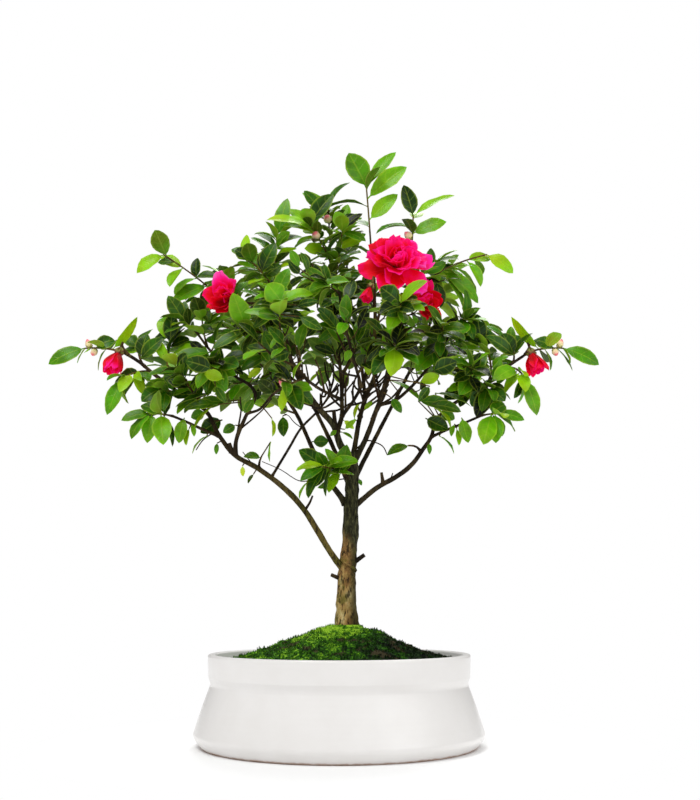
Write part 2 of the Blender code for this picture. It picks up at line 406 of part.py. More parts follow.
def as_object(name, bm, finish):
    """The bmesh as an object with its finish, faces pointing out."""
    bmesh.ops.recalc_face_normals(bm, faces=bm.faces)
    mesh = bpy.data.meshes.new(name)
    bm.to_mesh(mesh)
    bm.free()
    mesh.shade_smooth()
    mesh.set_sharp_from_angle(angle=SHARP)
    mesh.materials.append(material(finish))
    obj = bpy.data.objects.new(name, mesh)
    bpy.context.scene.collection.objects.link(obj)
    return obj


def fused(name, bodies, finish, origin):
    """One object from overlapping bodies, joined by a single Boolean union on a collection."""
    base = as_object(name, bodies[0], finish)
    helpers = bpy.data.collections.new(name + "_repeats")
    bpy.context.scene.collection.children.link(helpers)
    for body in bodies[1:]:
        obj = as_object(name + "_repeat", body, finish)
        bpy.context.scene.collection.objects.unlink(obj)
        helpers.objects.link(obj)
    union = base.modifiers.new("union", "BOOLEAN")
    union.operation = "UNION"
    union.operand_type = "COLLECTION"
    union.collection = helpers
    union.solver = "EXACT"
    bpy.context.view_layer.update()
    graph = bpy.context.evaluated_depsgraph_get()
    joined = bpy.data.meshes.new_from_object(base.evaluated_get(graph))
    base.modifiers.clear()
    joined.transform(Matrix.Translation(-origin))
    base.data, base.location = joined, origin
    for obj in list(helpers.objects):
        bpy.data.objects.remove(obj, do_unlink=True)
    bpy.data.collections.remove(helpers)
    return joined


def shell(rings, start=None, end=None):
    """A closed body extruded through rings of points. It ends flat, or in the given start or end point."""
    bm = bmesh.new()
    first = [bm.verts.new(point) for point in rings[0]]
    face = bm.faces.new(first)
    for ring in rings[1:]:
        face = bmesh.ops.extrude_discrete_faces(bm, faces=[face])["faces"][0]
        for vertex, point in zip(face.verts, ring):
            vertex.co = point
    bmesh.ops.holes_fill(bm, edges=bm.edges, sides=0)
    root_face = next(f for f in bm.faces if set(f.verts) == set(first))
    for cap, point in ((face, end), (root_face, start)):
        if point is not None:
            bmesh.ops.poke(bm, faces=[cap])["verts"][0].co = point
    return bm


def circle(centre, ahead, side, radius, sides):
    """Points of a ring round centre, square to ahead, the first one towards side."""
    across = ahead.cross(side).normalized()
    side = across.cross(ahead).normalized()
    turns = [2 * math.pi * k / sides for k in range(sides)]
    return [centre + radius * (math.cos(a) * side + math.sin(a) * across) for a in turns]


class Path:
    """A line of straight steps with a radius at each point, measured by the share of its length."""

    def __init__(self, points, radii, ways=None):
        self.points = [Vector(p) for p in points]
        self.radii = list(radii)
        self.ways = ways
        self.reach = [0.0]
        for a, b in zip(self.points, self.points[1:]):
            self.reach.append(self.reach[-1] + (b - a).length)
        self.length = self.reach[-1]

    def where(self, share):
        """The step that a share falls in, and how far into it."""
        goal = min(max(share, 0.0), 1.0) * self.length
        k = next(i for i in range(1, len(self.reach)) if self.reach[i] >= goal - FINE)
        return k - 1, (goal - self.reach[k - 1]) / (self.reach[k] - self.reach[k - 1])

    def at(self, share):
        k, part = self.where(share)
        return self.points[k].lerp(self.points[k + 1], part)

    def ahead(self, share):
        return (self.at(share + AHEAD_STEP) - self.at(share - AHEAD_STEP)).normalized()

    def radius(self, share):
        k, part = self.where(share)
        return self.radii[k] + (self.radii[k + 1] - self.radii[k]) * part

    def part(self, first, last, step):
        """The stretch between two shares, in equal straight pieces of about the given step."""
        count = max(1, round((last - first) * self.length / step))
        shares = [first + (last - first) * k / count for k in range(count + 1)]
        return Path([self.at(share) for share in shares], [self.radius(share) for share in shares],
                    [self.ahead(share) for share in shares])

    def tube(self, sides, grow=0.0):
        """A closed tapering tube round the whole line."""
        side = Vector((0.31, -0.95, 0.05))
        rings = []
        for k, centre in enumerate(self.points):
            ahead = self.ways[k] if self.ways else self.ahead(self.reach[k] / self.length)
            ring = circle(centre, ahead, side, self.radii[k] + grow, sides)
            rings.append(ring)
            side = ring[0] - centre
        return shell(rings)


def smooth(points, radii, steps=10):
    """A path that curves through chosen points."""
    points = [Vector(p) for p in points]
    ends = [2 * points[0] - points[1], *points, 2 * points[-1] - points[-2]]
    line, wide = [], []
    for k in range(len(points) - 1):
        a, b, c, d = ends[k:k + 4]
        for step in range(steps):
            t = step / steps
            line.append(0.5 * ((2 * b) + (c - a) * t + (2 * a - 5 * b + 4 * c - d) * t * t
                               + (3 * b - a - 3 * c + d) * t ** 3))
            wide.append(radii[k] + (radii[k + 1] - radii[k]) * t)
    return Path(line + [points[-1]], wide + [radii[-1]])


def limb_paths():
    """The trunk's path and every limb's, by name."""
    paths = {"trunk": Path([p[:3] for p in TRUNK], [p[3] for p in TRUNK])}
    for name, (thick, thin, points) in LIMBS.items():
        last = len(points) - 1
        radii = [thick + (thin - thick) * (k / last) ** 0.8 for k in range(last + 1)]
        paths[name] = smooth(points, radii).part(0, 1, LIMB_STEP)
    return paths


def branch_path(limb, share, tip, bend):
    """A side branch from the limb's axis to the tip. It leaves along the limb and turns to the tip."""
    start, tip = limb.at(min(share, PATH_END)), Vector(tip)
    span = tip - start
    leave = (limb.ahead(share) + span.normalized()).normalized()
    middle = start + leave * BRANCH_LEAVES * span.length + bend
    thick = min(BRANCH_RADIUS, 0.8 * limb.radius(share))
    turns = [k / BRANCH_TURNS for k in range(BRANCH_TURNS + 1)]
    line = [start.lerp(middle, t).lerp(middle.lerp(tip, t), t) for t in turns]
    return Path(line, [thick + (SHOOT_TIP_RADIUS - thick) * t for t in turns])


def bends():
    """Sideways pushes for a branch's middle, the straight one first, for finding a clear way."""
    yield Vector((0, 0, 0))
    for push in PUSHES:
        for k in range(PUSH_WAYS):
            angle = 2 * math.pi * k / PUSH_WAYS
            yield push * Vector((math.cos(angle), 0.8 * math.sin(angle), 0.6 * math.cos(2 * angle)))


def tree_of(bm):
    """A search tree of the body's faces."""
    bm.normal_update()
    return BVHTree.FromBMesh(bm)


def crosses(trees, others):
    return any(a.overlap(b) for a in trees for b in others)


class Blade:
    """A leaf or a petal: root, way ahead, upper side, length, width and bend away from the upper side."""

    def __init__(self, root, ahead, up, length, width, bend):
        self.root, self.ahead = root, ahead.normalized()
        self.up = (up - up.project(self.ahead)).normalized()
        self.length, self.width, self.bend = length, width, bend
        self.side = self.ahead.cross(self.up)

    def mid(self, share):
        forth = math.sin(self.bend * share) / self.bend
        down = (1 - math.cos(self.bend * share)) / self.bend
        return self.root + self.length * (forth * self.ahead - down * self.up)

    def normal(self, share):
        return self.up * math.cos(self.bend * share) + self.ahead * math.sin(self.bend * share)

    def edges(self, share, wide, fold):
        """The two edges of the blade, raised by its fold."""
        half = wide * self.width / 2
        lifted = self.mid(share) + self.normal(share) * fold * half
        return lifted + self.side * half, lifted - self.side * half

    def keel(self, share, wide, thick, fold):
        """Three points across the blade: both edges, and the rib that stands out below."""
        return [*self.edges(share, wide, fold), self.mid(share) - self.normal(share) * thick]

    def ring(self, share, wide, thick, fold, notch):
        """Four points across the blade: one edge, the rib above, the other edge, the rib below."""
        left, right = self.edges(share, wide, fold)
        rib, half_thick = self.mid(share - notch), self.normal(share) * thick / 2
        return [left, rib + half_thick, right, rib - half_thick]


def leaf_body(leaf, grow=0.0, whole=True):
    """The closed body of a leaf. Without its stalk it starts at the first station."""
    wider = 1 + 2 * grow / leaf.width
    rings = [leaf.keel(share, wide * wider, LEAF_THICK + grow, LEAF_FOLD) for share, wide in LEAF_STATIONS]
    return shell(rings, leaf.root if whole else None, leaf.mid(1.0))


def petal_body(petal):
    """The closed body of a petal, notched at its end."""
    *inner, (end, end_wide) = PETAL_STATIONS
    rings = [petal.ring(share, wide, PETAL_THICK, PETAL_CUP, 0) for share, wide in inner]
    rings.append(petal.ring(end, end_wide, PETAL_THICK, PETAL_CUP, PETAL_NOTCH))
    return shell(rings, petal.root)


def bud_body(root, ahead, length):
    """A closed flower bud, its root sunk in the shoot."""
    side = ahead.orthogonal()
    tip = root + ahead * length
    rings = [circle(root.lerp(tip, share), ahead, side, length * wide, BUD_SIDES)
             for share, wide in BUD_SHAPE]
    return shell(rings, root, tip)


def bloom_body(place, facing, whorls):
    """The petals of a bloom in whorls round its calyx, as bodies that overlap at their roots."""
    place, facing = Vector(place), Vector(facing).normalized()
    side = facing.orthogonal().normalized()
    rings = [circle(place - facing * back, facing, side, radius, CALYX_SIDES) for back, radius in CALYX]
    bodies = [shell(rings)]
    turn = FIRST_WHORL_TURN
    for count, tilt, length, width, bend in whorls:
        for k in range(count):
            around = Quaternion(facing, turn + 2 * math.pi * k / count) @ side
            lean = math.radians(tilt + (TILT_ODD if k % 2 else TILT_EVEN))
            ahead = math.cos(lean) * facing + math.sin(lean) * around
            up = facing - around * PETAL_LEAN
            size = 1 + PETAL_SIZE_VARIES * math.sin(GOLDEN_TURN * k + turn)
            root = place - PETAL_ROOT_BACK * facing + PETAL_ROOT_OUT * around
            bodies.append(petal_body(Blade(root, ahead, up, length * size, width * size, bend)))
        turn += WHORL_TURN
    return bodies


def leaf_on(path, share, around, rng, tries):
    """A leaf at a share of a shoot, turned round it, its upper side turned to the sky and outward."""
    ahead, at_end = path.ahead(share), share == PATH_END
    around += rng.uniform(-TURN_VARIES, TURN_VARIES) * (1 + tries)
    out = Quaternion(ahead, around) @ ahead.orthogonal().normalized()
    opened = OPEN_END_LEAF if at_end else OPEN_AT_FOOT + (OPEN_AT_TIP - OPEN_AT_FOOT) * share
    opened = math.radians(opened + rng.uniform(-OPEN_VARIES, OPEN_VARIES))
    way = math.cos(opened) * ahead + math.sin(opened) * out - UP * LEAF_SAG
    outward = (path.at(share) - CROWN_MIDDLE).normalized()
    forward = FACE_VIEWER if outward.y < AT_THE_BACK else FACE_AWAY
    up = UP * FACE_SKY + VIEWER * forward + outward * FACE_OUT + ahead * FACE_AHEAD
    length = LEAF_LENGTH * rng.uniform(*LEAF_LENGTH_VARIES) * (1 - LEAF_SHRINK * tries)
    length *= END_LEAF_SIZE if at_end else 1
    width = length * LEAF_SLENDER * rng.uniform(*LEAF_WIDTH_VARIES)
    return Blade(path.at(share), way, up, length, width, rng.uniform(*LEAF_BEND_VARIES))


def leaf_to(root, tip, width, face, bend):
    """A leaf from its root to a chosen tip."""
    chord, face = Vector(tip) - root, Vector(face)
    ahead = chord.normalized()
    up = (face - face.project(ahead)).normalized()
    half = bend / 2
    start = math.cos(half) * ahead + math.sin(half) * up
    above = math.cos(half) * up - math.sin(half) * ahead
    return Blade(root, start, above, chord.length * half / math.sin(half), width, bend)


def shown_leaves():
    """The chosen leaves by shoot, with those of each pair's other side mirrored."""
    chosen = {}
    for shoot, share, tip, width, face, bend in SHOWN_LEAVES:
        chosen.setdefault(shoot, []).append((share, tip, width, face, bend))
        if shoot in PAIRS:
            mirrored = (2 * MIRROR_X - tip[0], tip[1], tip[2])
            turned_face = (-face[0], face[1], face[2])
            chosen.setdefault(PAIRS[shoot], []).append((share, mirrored, width, turned_face, bend))
    return chosen


class Crown:
    """The leaves placed so far, and what a new one must stay clear of."""

    def __init__(self, solid, twigs, buds):
        self.solid, self.twigs, self.buds = solid, twigs, buds
        self.placed = []

    def hides_bloom(self, leaf):
        """Whether the leaf hangs in front of an open bloom."""
        for place, radius in KEEP_IN_SIGHT:
            for share in (0.0, 0.35, 0.7, 1.0):
                off = leaf.mid(share) - Vector(place)
                if off.y < SIGHT_DEPTH and math.hypot(off.x, off.z) < radius + SIGHT_MARGIN:
                    return True
        return False

    def takes(self, leaf, shoot):
        """Keep the leaf if it is clear of all but its own shoot at its root."""
        full = tree_of(leaf_body(leaf, LEAF_CLEAR))
        middle = leaf.mid(0.5)
        near = [p for p in self.placed if (p[1] - middle).length < LEAF_NEAR]
        others = [tree for name, tree in self.twigs.items() if name != shoot]
        others += [tree for name, group in self.buds.items() if name != shoot for tree in group]
        if crosses([full], self.solid + others + [p[3] for p in near if p[0] != shoot]):
            return False
        blade = tree_of(leaf_body(leaf, LEAF_CLEAR, whole=False))
        own = [self.twigs[shoot]] + self.buds.get(shoot, []) + [p[2] for p in near if p[0] == shoot]
        if crosses([blade], own):
            return False
        self.placed.append((shoot, middle, blade, full))
        return True


def mound(share):
    """Height of the moss at a share of the way from the trunk to the pot, without its cushions."""
    return MOUND_FOOT + MOUND_RISE * (1 - share) ** MOUND_POWER


def soil_height(share):
    return mound(share) - MOSS_THICK


def ring_of_ground(share, height, radius_in, radius_out):
    """A level ring of points between the trunk's circle and the pot's."""
    trunk = Vector(TRUNK[2][:2] + (0,))
    points = []
    for k in range(POT_SIDES):
        angle = 2 * math.pi * k / POT_SIDES
        way = Vector((math.cos(angle), math.sin(angle), 0))
        points.append((trunk + way * radius_in).lerp(way * radius_out, share) + UP * height)
    return points


def cushion(point, share):
    """How far the moss rises at a point, which is nothing where it meets the trunk and the pot."""
    spot = Vector((point.x / MOSS_LUMP_SIZE, point.y / MOSS_LUMP_SIZE, MOSS_LUMP_LAYOUT))
    edge = min(1.0, share / MOSS_LEVEL, (1 - share) / MOSS_LEVEL)
    small = MOSS_SMALL_LUMP * noise.noise(MOSS_SMALL_TIMES * spot)
    return MOSS_LUMP * edge * (noise.noise(spot) + small)


def trunk_radius(height):
    for low, high in zip(TRUNK, TRUNK[1:]):
        if low[2] <= height <= high[2]:
            return low[3] + (high[3] - low[3]) * (height - low[2]) / (high[2] - low[2])
    raise ValueError("height is off the trunk")


def pot_inner_radius(height):
    for high, low in zip(POT_INSIDE, POT_INSIDE[1:]):
        if low[1] <= height <= high[1]:
            return low[0] + (high[0] - low[0]) * (height - low[1]) / (high[1] - low[1])
    raise ValueError("height is off the pot's inside")


def turned(profile):
    """Rings round the pot's axis for a profile of radius and height."""
    return [circle(UP * height, UP, Vector((1, 0, 0)), radius, POT_SIDES) for radius, height in profile]


def build_pot():
    return as_object("pot", shell(turned(POT_OUTSIDE + POT_INSIDE)), "glazed_white")


def build_gravel():
    """The drainage layer on the pot's floor."""
    low = POT_INSIDE[-1][1] + GAP
    heights = (low, POT_INSIDE[-2][1], GRAVEL_TOP)
    profile = [(pot_inner_radius(z) - GAP, z) for z in heights]
    return as_object("drainage_gravel", shell(turned(profile)), "gravel")


def build_soil():
    """Soil from the gravel up to the moss, with a plain hole for the root stump."""
    foot = soil_height(1.0)
    heights = (GRAVEL_TOP + GAP, POT_INSIDE[3][1], POT_INSIDE[2][1], foot)
    rings = turned([(pot_inner_radius(z) - GAP, z) for z in heights])
    radius_in = trunk_radius(soil_height(0.0)) + ROOT_HOLE_GAP
    radius_out = pot_inner_radius(foot) - GAP
    for share in reversed(SOIL_SHARES[:-1]):
        rings.append(ring_of_ground(share, soil_height(share), radius_in, radius_out))
    centre = Vector(TRUNK[0][:2] + (0,))
    for z in ROOT_HOLE_STEPS:
        hole = trunk_radius(max(z, TRUNK[0][2])) + ROOT_HOLE_GAP
        rings.append(circle(centre + UP * z, UP, Vector((1, 0, 0)), hole, POT_SIDES))
    return as_object("soil", shell(rings), "soil")


def build_moss():
    """The mat of moss: its lumpy top, and an underside that lies on the soil."""
    top_in = trunk_radius(mound(0.0)) + ROOT_HOLE_GAP
    low_in = trunk_radius(soil_height(0.0)) + ROOT_HOLE_GAP
    top_out = pot_inner_radius(mound(1.0)) - GAP
    low_out = pot_inner_radius(soil_height(1.0)) - GAP
    rings = []
    for share in MOSS_SHARES:
        ring = ring_of_ground(share, mound(share), top_in, top_out)
        rings.append([point + UP * cushion(point, share) for point in ring])
    for share in reversed(SOIL_SHARES):
        rings.append(ring_of_ground(share, soil_height(share) + GAP, low_in, low_out))
    bm = bmesh.new()
    first = [bm.verts.new(p) for p in rings[0]]
    edges = [bm.edges.new((first[k - 1], first[k])) for k in range(POT_SIDES)]
    start, order = list(edges), {v: k for k, v in enumerate(first)}
    for ring in rings[1:]:
        made = bmesh.ops.extrude_edge_only(bm, edges=edges)["geom"]
        edges = [g for g in made if isinstance(g, bmesh.types.BMEdge)]
        fresh = [g for g in made if isinstance(g, bmesh.types.BMVert)]
        step = {}
        for vertex in fresh:
            old = next(e.other_vert(vertex) for e in vertex.link_edges if e.other_vert(vertex) in order)
            step[vertex] = order[old]
        for vertex, k in step.items():
            vertex.co = ring[k]
        order = step
    bmesh.ops.bridge_loops(bm, edges=edges + start)
    return as_object("moss", bm, "moss")


def stub_bodies(limbs):
    """The short cut-back stubs that stand out of the trunk and the limbs."""
    bodies = []
    for name, share, way, length, radius in STUBS:
        start = limbs[name].at(share)
        end = start + Vector(way).normalized() * length
        bodies.append(Path((start, end), (1.2 * radius, radius)).tube(BRANCH_SIDES))
    return bodies


def stalk_body(limb, share, base, facing):
    """The stalk from a limb's axis to the back of a bloom's calyx."""
    start = limb.at(min(share, PATH_END))
    back = base - facing * STALK_RUN
    middle = start.lerp(back, 0.5) + limb.ahead(share) * STALK_RISE
    return Path((start, middle, back, base), STALK_RADII).tube(BRANCH_SIDES)


def build_blooms(limbs):
    """Each bloom as one piece. Returns the search trees of the blooms and the bodies of their stalks."""
    trees, stalks = [], []
    for name, place, facing, limb, share, whorls in BLOOMS:
        bodies = bloom_body(place, facing, whorls)
        trees += [tree_of(body) for body in bodies]
        fused(name, bodies, "petal", Vector(place))
        facing = Vector(facing).normalized()
        base = Vector(place) - facing * (CALYX[0][0] + GAP)
        stalks.append(stalk_body(limbs[limb], share, base, facing))
    return trees, stalks


def grow_shoot(limb, share, tip, count, wood_trees, taken):
    """The bare branch and the leafy twig to a tip, bent until they run clear of what is there."""
    for bend in bends():
        path = branch_path(limb, share, tip, bend)
        leafy = min(SHOOT_LEAF_STEP * count, path.length - limb.radius(share) - BARE_LEAST)
        bare = 1 - leafy / path.length
        branch = path.part(0, bare, BRANCH_STEP)
        twig = path.part(bare + GAP / path.length, 1, BRANCH_STEP)
        outer = tree_of(twig.tube(SHOOT_SIDES, SHOOT_CLEAR))
        inner = tree_of(branch.tube(BRANCH_SIDES, SHOOT_CLEAR / 2))
        if not crosses([outer], wood_trees + taken) and not crosses([inner], taken):
            return branch, twig
    raise ValueError("no clear way to the tip at %s" % (tip,))


def build_tree():
    """The wood, the leafy shoots and the blooms. Leaves look for free space, so none crosses another."""
    limbs = limb_paths()
    bloom_trees, stalks = build_blooms(limbs)
    wood = [limbs["trunk"].tube(TRUNK_SIDES)]
    wood += [limbs[name].tube(LIMB_SIDES if LIMBS[name][0] > THIN_LIMB else BRANCH_SIDES) for name in LIMBS]
    wood += stub_bodies(limbs) + stalks
    wood_trees = [tree_of(body) for body in wood]

    twigs, twig_trees = {}, {}
    for name, limb, share, tip, count in SHOOTS:
        taken = bloom_trees + list(twig_trees.values())
        branch, twigs[name] = grow_shoot(limbs[limb], share, tip, count, wood_trees, taken)
        wood.append(branch.tube(BRANCH_SIDES))
        wood_trees.append(tree_of(wood[-1]))
        twig_trees[name] = tree_of(twigs[name].tube(SHOOT_SIDES))
    whole = bmesh.new()
    whole.from_mesh(fused("tree_wood", wood, "bark", Vector()))
    solid = bloom_trees + [tree_of(whole)]
    whole.free()

    buds, bud_trees = {}, {}
    for name, share, way, length in BUDS:
        body = bud_body(twigs[name].at(share), Vector(way).normalized(), length)
        buds.setdefault(name, []).append(body)
        bud_trees.setdefault(name, []).append(tree_of(body))

    leaves = set_leaves(Crown(solid, twig_trees, bud_trees), twigs)
    for name, twig in twigs.items():
        bodies = [twig.tube(SHOOT_SIDES)] + buds.get(name, []) + [leaf_body(leaf) for leaf in leaves[name]]
        fused("shoot_" + name, bodies, "leaf", twig.points[0])


def set_leaves(crown, twigs):
    """The leaves of each shoot: the chosen ones of all shoots first, then the others by rule."""
    chosen = shown_leaves()
    leaves = {name: [] for name in twigs}
    for name, group in chosen.items():
        for share, tip, width, face, bend in group:
            for shift in SHOWN_SHIFTS:
                leaf = leaf_to(twigs[name].at(share), Vector(tip) + VIEWER * shift, width, face, bend)
                if crown.takes(leaf, name):
                    leaves[name].append(leaf)
                    break
    for number, (name, limb, where, tip, count) in enumerate(SHOOTS):
        rng = random.Random(LEAF_SEED + number)
        around = rng.uniform(0, 2 * math.pi)
        free = count - len(chosen.get(name, ()))
        for k in range(free):
            share = FIRST_LEAF + (LAST_LEAF - FIRST_LEAF) * k / max(1, free - 1)
            if k == free - 1 and name not in chosen:
                share = PATH_END
            around += GOLDEN_TURN
            for tries in range(LEAF_TRIES):
                leaf = leaf_on(twigs[name], share, around, rng, tries)
                if not crown.hides_bloom(leaf) and crown.takes(leaf, name):
                    leaves[name].append(leaf)
                    break
    return leaves


def main():
    clear_scene()
    build_pot()
    build_gravel()
    build_soil()
    build_moss()
    build_tree()
    whole = bpy.data.objects.new("bonsai", None)
    for piece in list(bpy.context.scene.collection.objects):
        piece.parent = whole
    bpy.context.scene.collection.objects.link(whole)


main()
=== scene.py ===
# %% [markdown]
# # A camellia bonsai in a round white pot
#
# A camellia bonsai is a small tree with glossy evergreen leaves and a few red blooms, in a shallow pot
# under a mat of moss. The frame that is loaded first holds it as plain closed solids. Each solid keeps its
# place, and a finer piece grows here along the same lines.
#
# Everything is in metres, apart from the tables of the plant, which are in millimetres. The origin is the
# middle of the pot's underside, +Z is up, and -Y is the side that the tree shows to the viewer.

# %% Load the frame
import json
import math
import random

import bmesh
import bpy
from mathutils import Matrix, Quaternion, Vector, kdtree, noise
from mathutils.bvhtree import BVHTree

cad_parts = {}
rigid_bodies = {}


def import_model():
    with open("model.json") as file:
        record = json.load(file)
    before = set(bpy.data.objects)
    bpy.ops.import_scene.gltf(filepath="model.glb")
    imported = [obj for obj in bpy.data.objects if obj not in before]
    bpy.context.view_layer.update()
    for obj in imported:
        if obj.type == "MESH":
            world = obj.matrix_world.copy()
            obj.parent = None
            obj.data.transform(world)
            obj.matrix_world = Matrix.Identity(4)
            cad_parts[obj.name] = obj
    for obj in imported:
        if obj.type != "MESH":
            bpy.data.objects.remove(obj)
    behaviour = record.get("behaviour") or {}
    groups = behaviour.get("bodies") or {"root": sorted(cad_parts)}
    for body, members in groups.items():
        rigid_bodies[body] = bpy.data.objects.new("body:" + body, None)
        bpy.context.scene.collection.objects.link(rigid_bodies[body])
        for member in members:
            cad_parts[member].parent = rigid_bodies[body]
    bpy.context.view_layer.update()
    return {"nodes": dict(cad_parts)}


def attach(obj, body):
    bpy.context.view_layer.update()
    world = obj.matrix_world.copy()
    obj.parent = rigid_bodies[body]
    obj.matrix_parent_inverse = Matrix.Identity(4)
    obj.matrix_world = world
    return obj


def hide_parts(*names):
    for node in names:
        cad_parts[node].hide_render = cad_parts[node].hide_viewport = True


for obj in list(bpy.data.objects):
    bpy.data.objects.remove(obj)
show = bpy.context.scene.collection.objects.link
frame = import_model()
MM = 0.001  # the tables of the wood, the leaves and the blooms are in millimetres
UP = Vector((0, 0, 1))
VIEWER = Vector((0, -1, 0))
print("solids in the frame:", len(frame["nodes"]))

# %% [markdown]
# ## Camera
#
# The pot's rim shows as a thin upward ellipse, so the camera stands just above it. The trunk stays upright
# although the crown fills the upper half, so the camera looks up a little from low down. A lens of 48 mm on
# a 36 mm sensor gives the same narrowing of the pot towards its foot.

# %% Place the camera
PICTURE_HIGH = 800
FOCAL_IN_PIXELS = 1069
SENSOR = 36
CAMERA_PLACE = (0.0105, -1.0875, 0.1391)
CAMERA_UP = math.radians(10.597)

camera_data = bpy.data.cameras.new("camera")
camera_data.sensor_width = SENSOR
camera_data.lens = FOCAL_IN_PIXELS / PICTURE_HIGH * SENSOR
camera = bpy.data.objects.new("camera", camera_data)
camera.location = CAMERA_PLACE
camera.rotation_euler = (math.pi / 2 + CAMERA_UP, 0, 0)
show(camera)
bpy.context.scene.camera = camera
print("lens in mm:", round(camera_data.lens, 1))

# %% [markdown]
# ## Shader helpers
#
# Each finish is a small network of nodes, and a few helpers keep the networks short to read. Patterns read
# Object coordinates or a value stored on the mesh, so they stay on the surface from every side.

# %% Helpers for materials
def join(tree, value, socket):
    """Feed a socket with a node's output or with a plain value."""
    if isinstance(value, bpy.types.NodeSocket):
        tree.links.new(value, socket)
    else:
        socket.default_value = value


def start_material(name, roughness, values=None):
    """A new material with its Principled shader, and the values that are the same all over."""
    made = bpy.data.materials.new(name)
    made.use_nodes = True
    shader = made.node_tree.nodes["Principled BSDF"]
    for socket, value in {"Roughness": roughness, **(values or {})}.items():
        shader.inputs[socket].default_value = value
    return made, made.node_tree, shader


def add(tree, kind, feeds=None, **settings):
    """A node of a kind, with what feeds its inputs and with its own settings."""
    node = tree.nodes.new("ShaderNode" + kind)
    for name, value in settings.items():
        setattr(node, name, value)
    for name, value in (feeds or {}).items():
        join(tree, value, node.inputs[name])
    return node


def maths(tree, operation, *values, clamp=False):
    """The result of a calculation with outputs or plain numbers."""
    return add(tree, "Math", dict(enumerate(values)), operation=operation, use_clamp=clamp).outputs["Value"]


def colour(red, green, blue):
    """A colour as an eye sees it, from 0 to 255, as the linear values that shaders take."""
    parts = [part / 255 for part in (red, green, blue)]
    return [part / 12.92 if part < 0.04045 else ((part + 0.055) / 1.055) ** 2.4 for part in parts] + [1]


def ramp(tree, factor, *stops):
    """A colour ramp. Each stop is a position and a colour as an eye sees it."""
    node = add(tree, "ValToRGB", {"Fac": factor})
    points = node.color_ramp.elements
    while len(points) < len(stops):
        points.new(0.5)
    for point, (place, shade) in zip(points, stops):
        point.position = place
        point.color = colour(*shade)
    return node.outputs["Color"]


def blend(tree, factor, first, second, how="MIX"):
    """Two colours mixed. Each may be an output or a plain colour."""
    return add(tree, "Mix", {0: factor, 6: first, 7: second}, data_type="RGBA", blend_type=how).outputs[2]


def fit(tree, value, low, high, out_low=0.0, out_high=1.0):
    """A value brought from one range to another, smoothly and without overshoot."""
    ends = {"Value": value, "From Min": low, "From Max": high, "To Min": out_low, "To Max": out_high}
    return add(tree, "MapRange", ends, interpolation_type="SMOOTHSTEP").outputs["Result"]


def place_on(tree):
    """The place on the piece, in its own coordinates."""
    return add(tree, "TexCoord").outputs["Object"]


def split(tree, vector):
    """The X, Y and Z of a vector."""
    return add(tree, "SeparateXYZ", {0: vector}).outputs


def stored(tree, name):
    """A number that is stored on the mesh."""
    return add(tree, "Attribute", attribute_name=name).outputs["Fac"]


def bump(tree, height, shader, strength, distance):
    node = add(tree, "Bump", {"Height": height, "Strength": strength, "Distance": distance})
    join(tree, node.outputs["Normal"], shader.inputs["Normal"])


def show_mixed(tree, share, first, second):
    """Two shaders mixed, as the surface of the material."""
    mixed = add(tree, "MixShader", {0: share, 1: first, 2: second})
    join(tree, mixed.outputs["Shader"], tree.nodes["Material Output"].inputs["Surface"])


# %% [markdown]
# Nothing that grew or was thrown by hand has one even colour. The same mottling shows on the bark, the
# moss, the leaves and faintly on the glaze, at different sizes. It is built once as a node group with named
# sockets, and each material sets its own size and contrast.

# %% Build the mottling group
def start_group(name, takes, gives):
    """A new node group with its named sockets, what it takes in, and what it gives out."""
    group = bpy.data.node_groups.new(name, "ShaderNodeTree")
    for socket, kind in takes.items():
        group.interface.new_socket(socket, in_out="INPUT", socket_type="NodeSocket" + kind)
    for socket in gives:
        group.interface.new_socket(socket, in_out="OUTPUT", socket_type="NodeSocketFloat")
    return group, group.nodes.new("NodeGroupInput").outputs, group.nodes.new("NodeGroupOutput").inputs


def mottling_group():
    group, takes, gives = start_group("mottling", {"Size": "Float", "Stretch": "Vector", "Contrast": "Float"},
                                      ["Mask"])
    scaled = add(group, "VectorMath", {0: place_on(group), 1: takes["Stretch"]}, operation="MULTIPLY")
    clouds = add(group, "TexNoise", {"Vector": scaled.outputs["Vector"], "Detail": 5.0, "Roughness": 0.6,
                                     "Scale": maths(group, "DIVIDE", 1.0, takes["Size"])})
    centred = maths(group, "SUBTRACT", clouds.outputs["Fac"], 0.5)
    spread = maths(group, "MULTIPLY", centred, takes["Contrast"])
    join(group, maths(group, "ADD", spread, 0.5, clamp=True), gives["Mask"])
    return group


MOTTLING = mottling_group()


def mottling(tree, size, contrast, stretch=(1, 1, 1)):
    """The mottling group in a material. Size is in metres."""
    feeds = {"Size": size, "Contrast": contrast, "Stretch": stretch}
    return add(tree, "Group", feeds, node_tree=MOTTLING).outputs["Mask"]


print("groups:", [group.name for group in bpy.data.node_groups])

# %% [markdown]
# ## Floor and light
#
# The studio is a white table with soft light from all sides, a lamp high in front at the left, and one
# behind that shines through the leaves. The table shades into plain white away from the pot, so no horizon
# shows, while the pot's soft shadow stays. Glossy leaves would mirror a white sky as a grey film, so the
# sky is darker where it is only mirrored.

# %% Lay the floor and hang the lights
FLOOR_SIZE = 12.0
SHADOW_REACH = (0.17, 0.3)  # the floor takes shade up to the first distance, and none past the second
SKY_SEEN = 1.0
SKY_GIVEN = 0.66
SKY_MIRRORED = 0.18
LIGHTS = (  # name, place, size, power
    ("key_light", (-0.7, -1.0, 2.1), 1.1, 22),
    ("fill_light", (1.6, -1.2, 1.0), 1.4, 8),
    ("back_light", (0.2, 1.3, 1.9), 1.2, 24),
)
LIGHT_AIM = Vector((0, 0, 0.36))


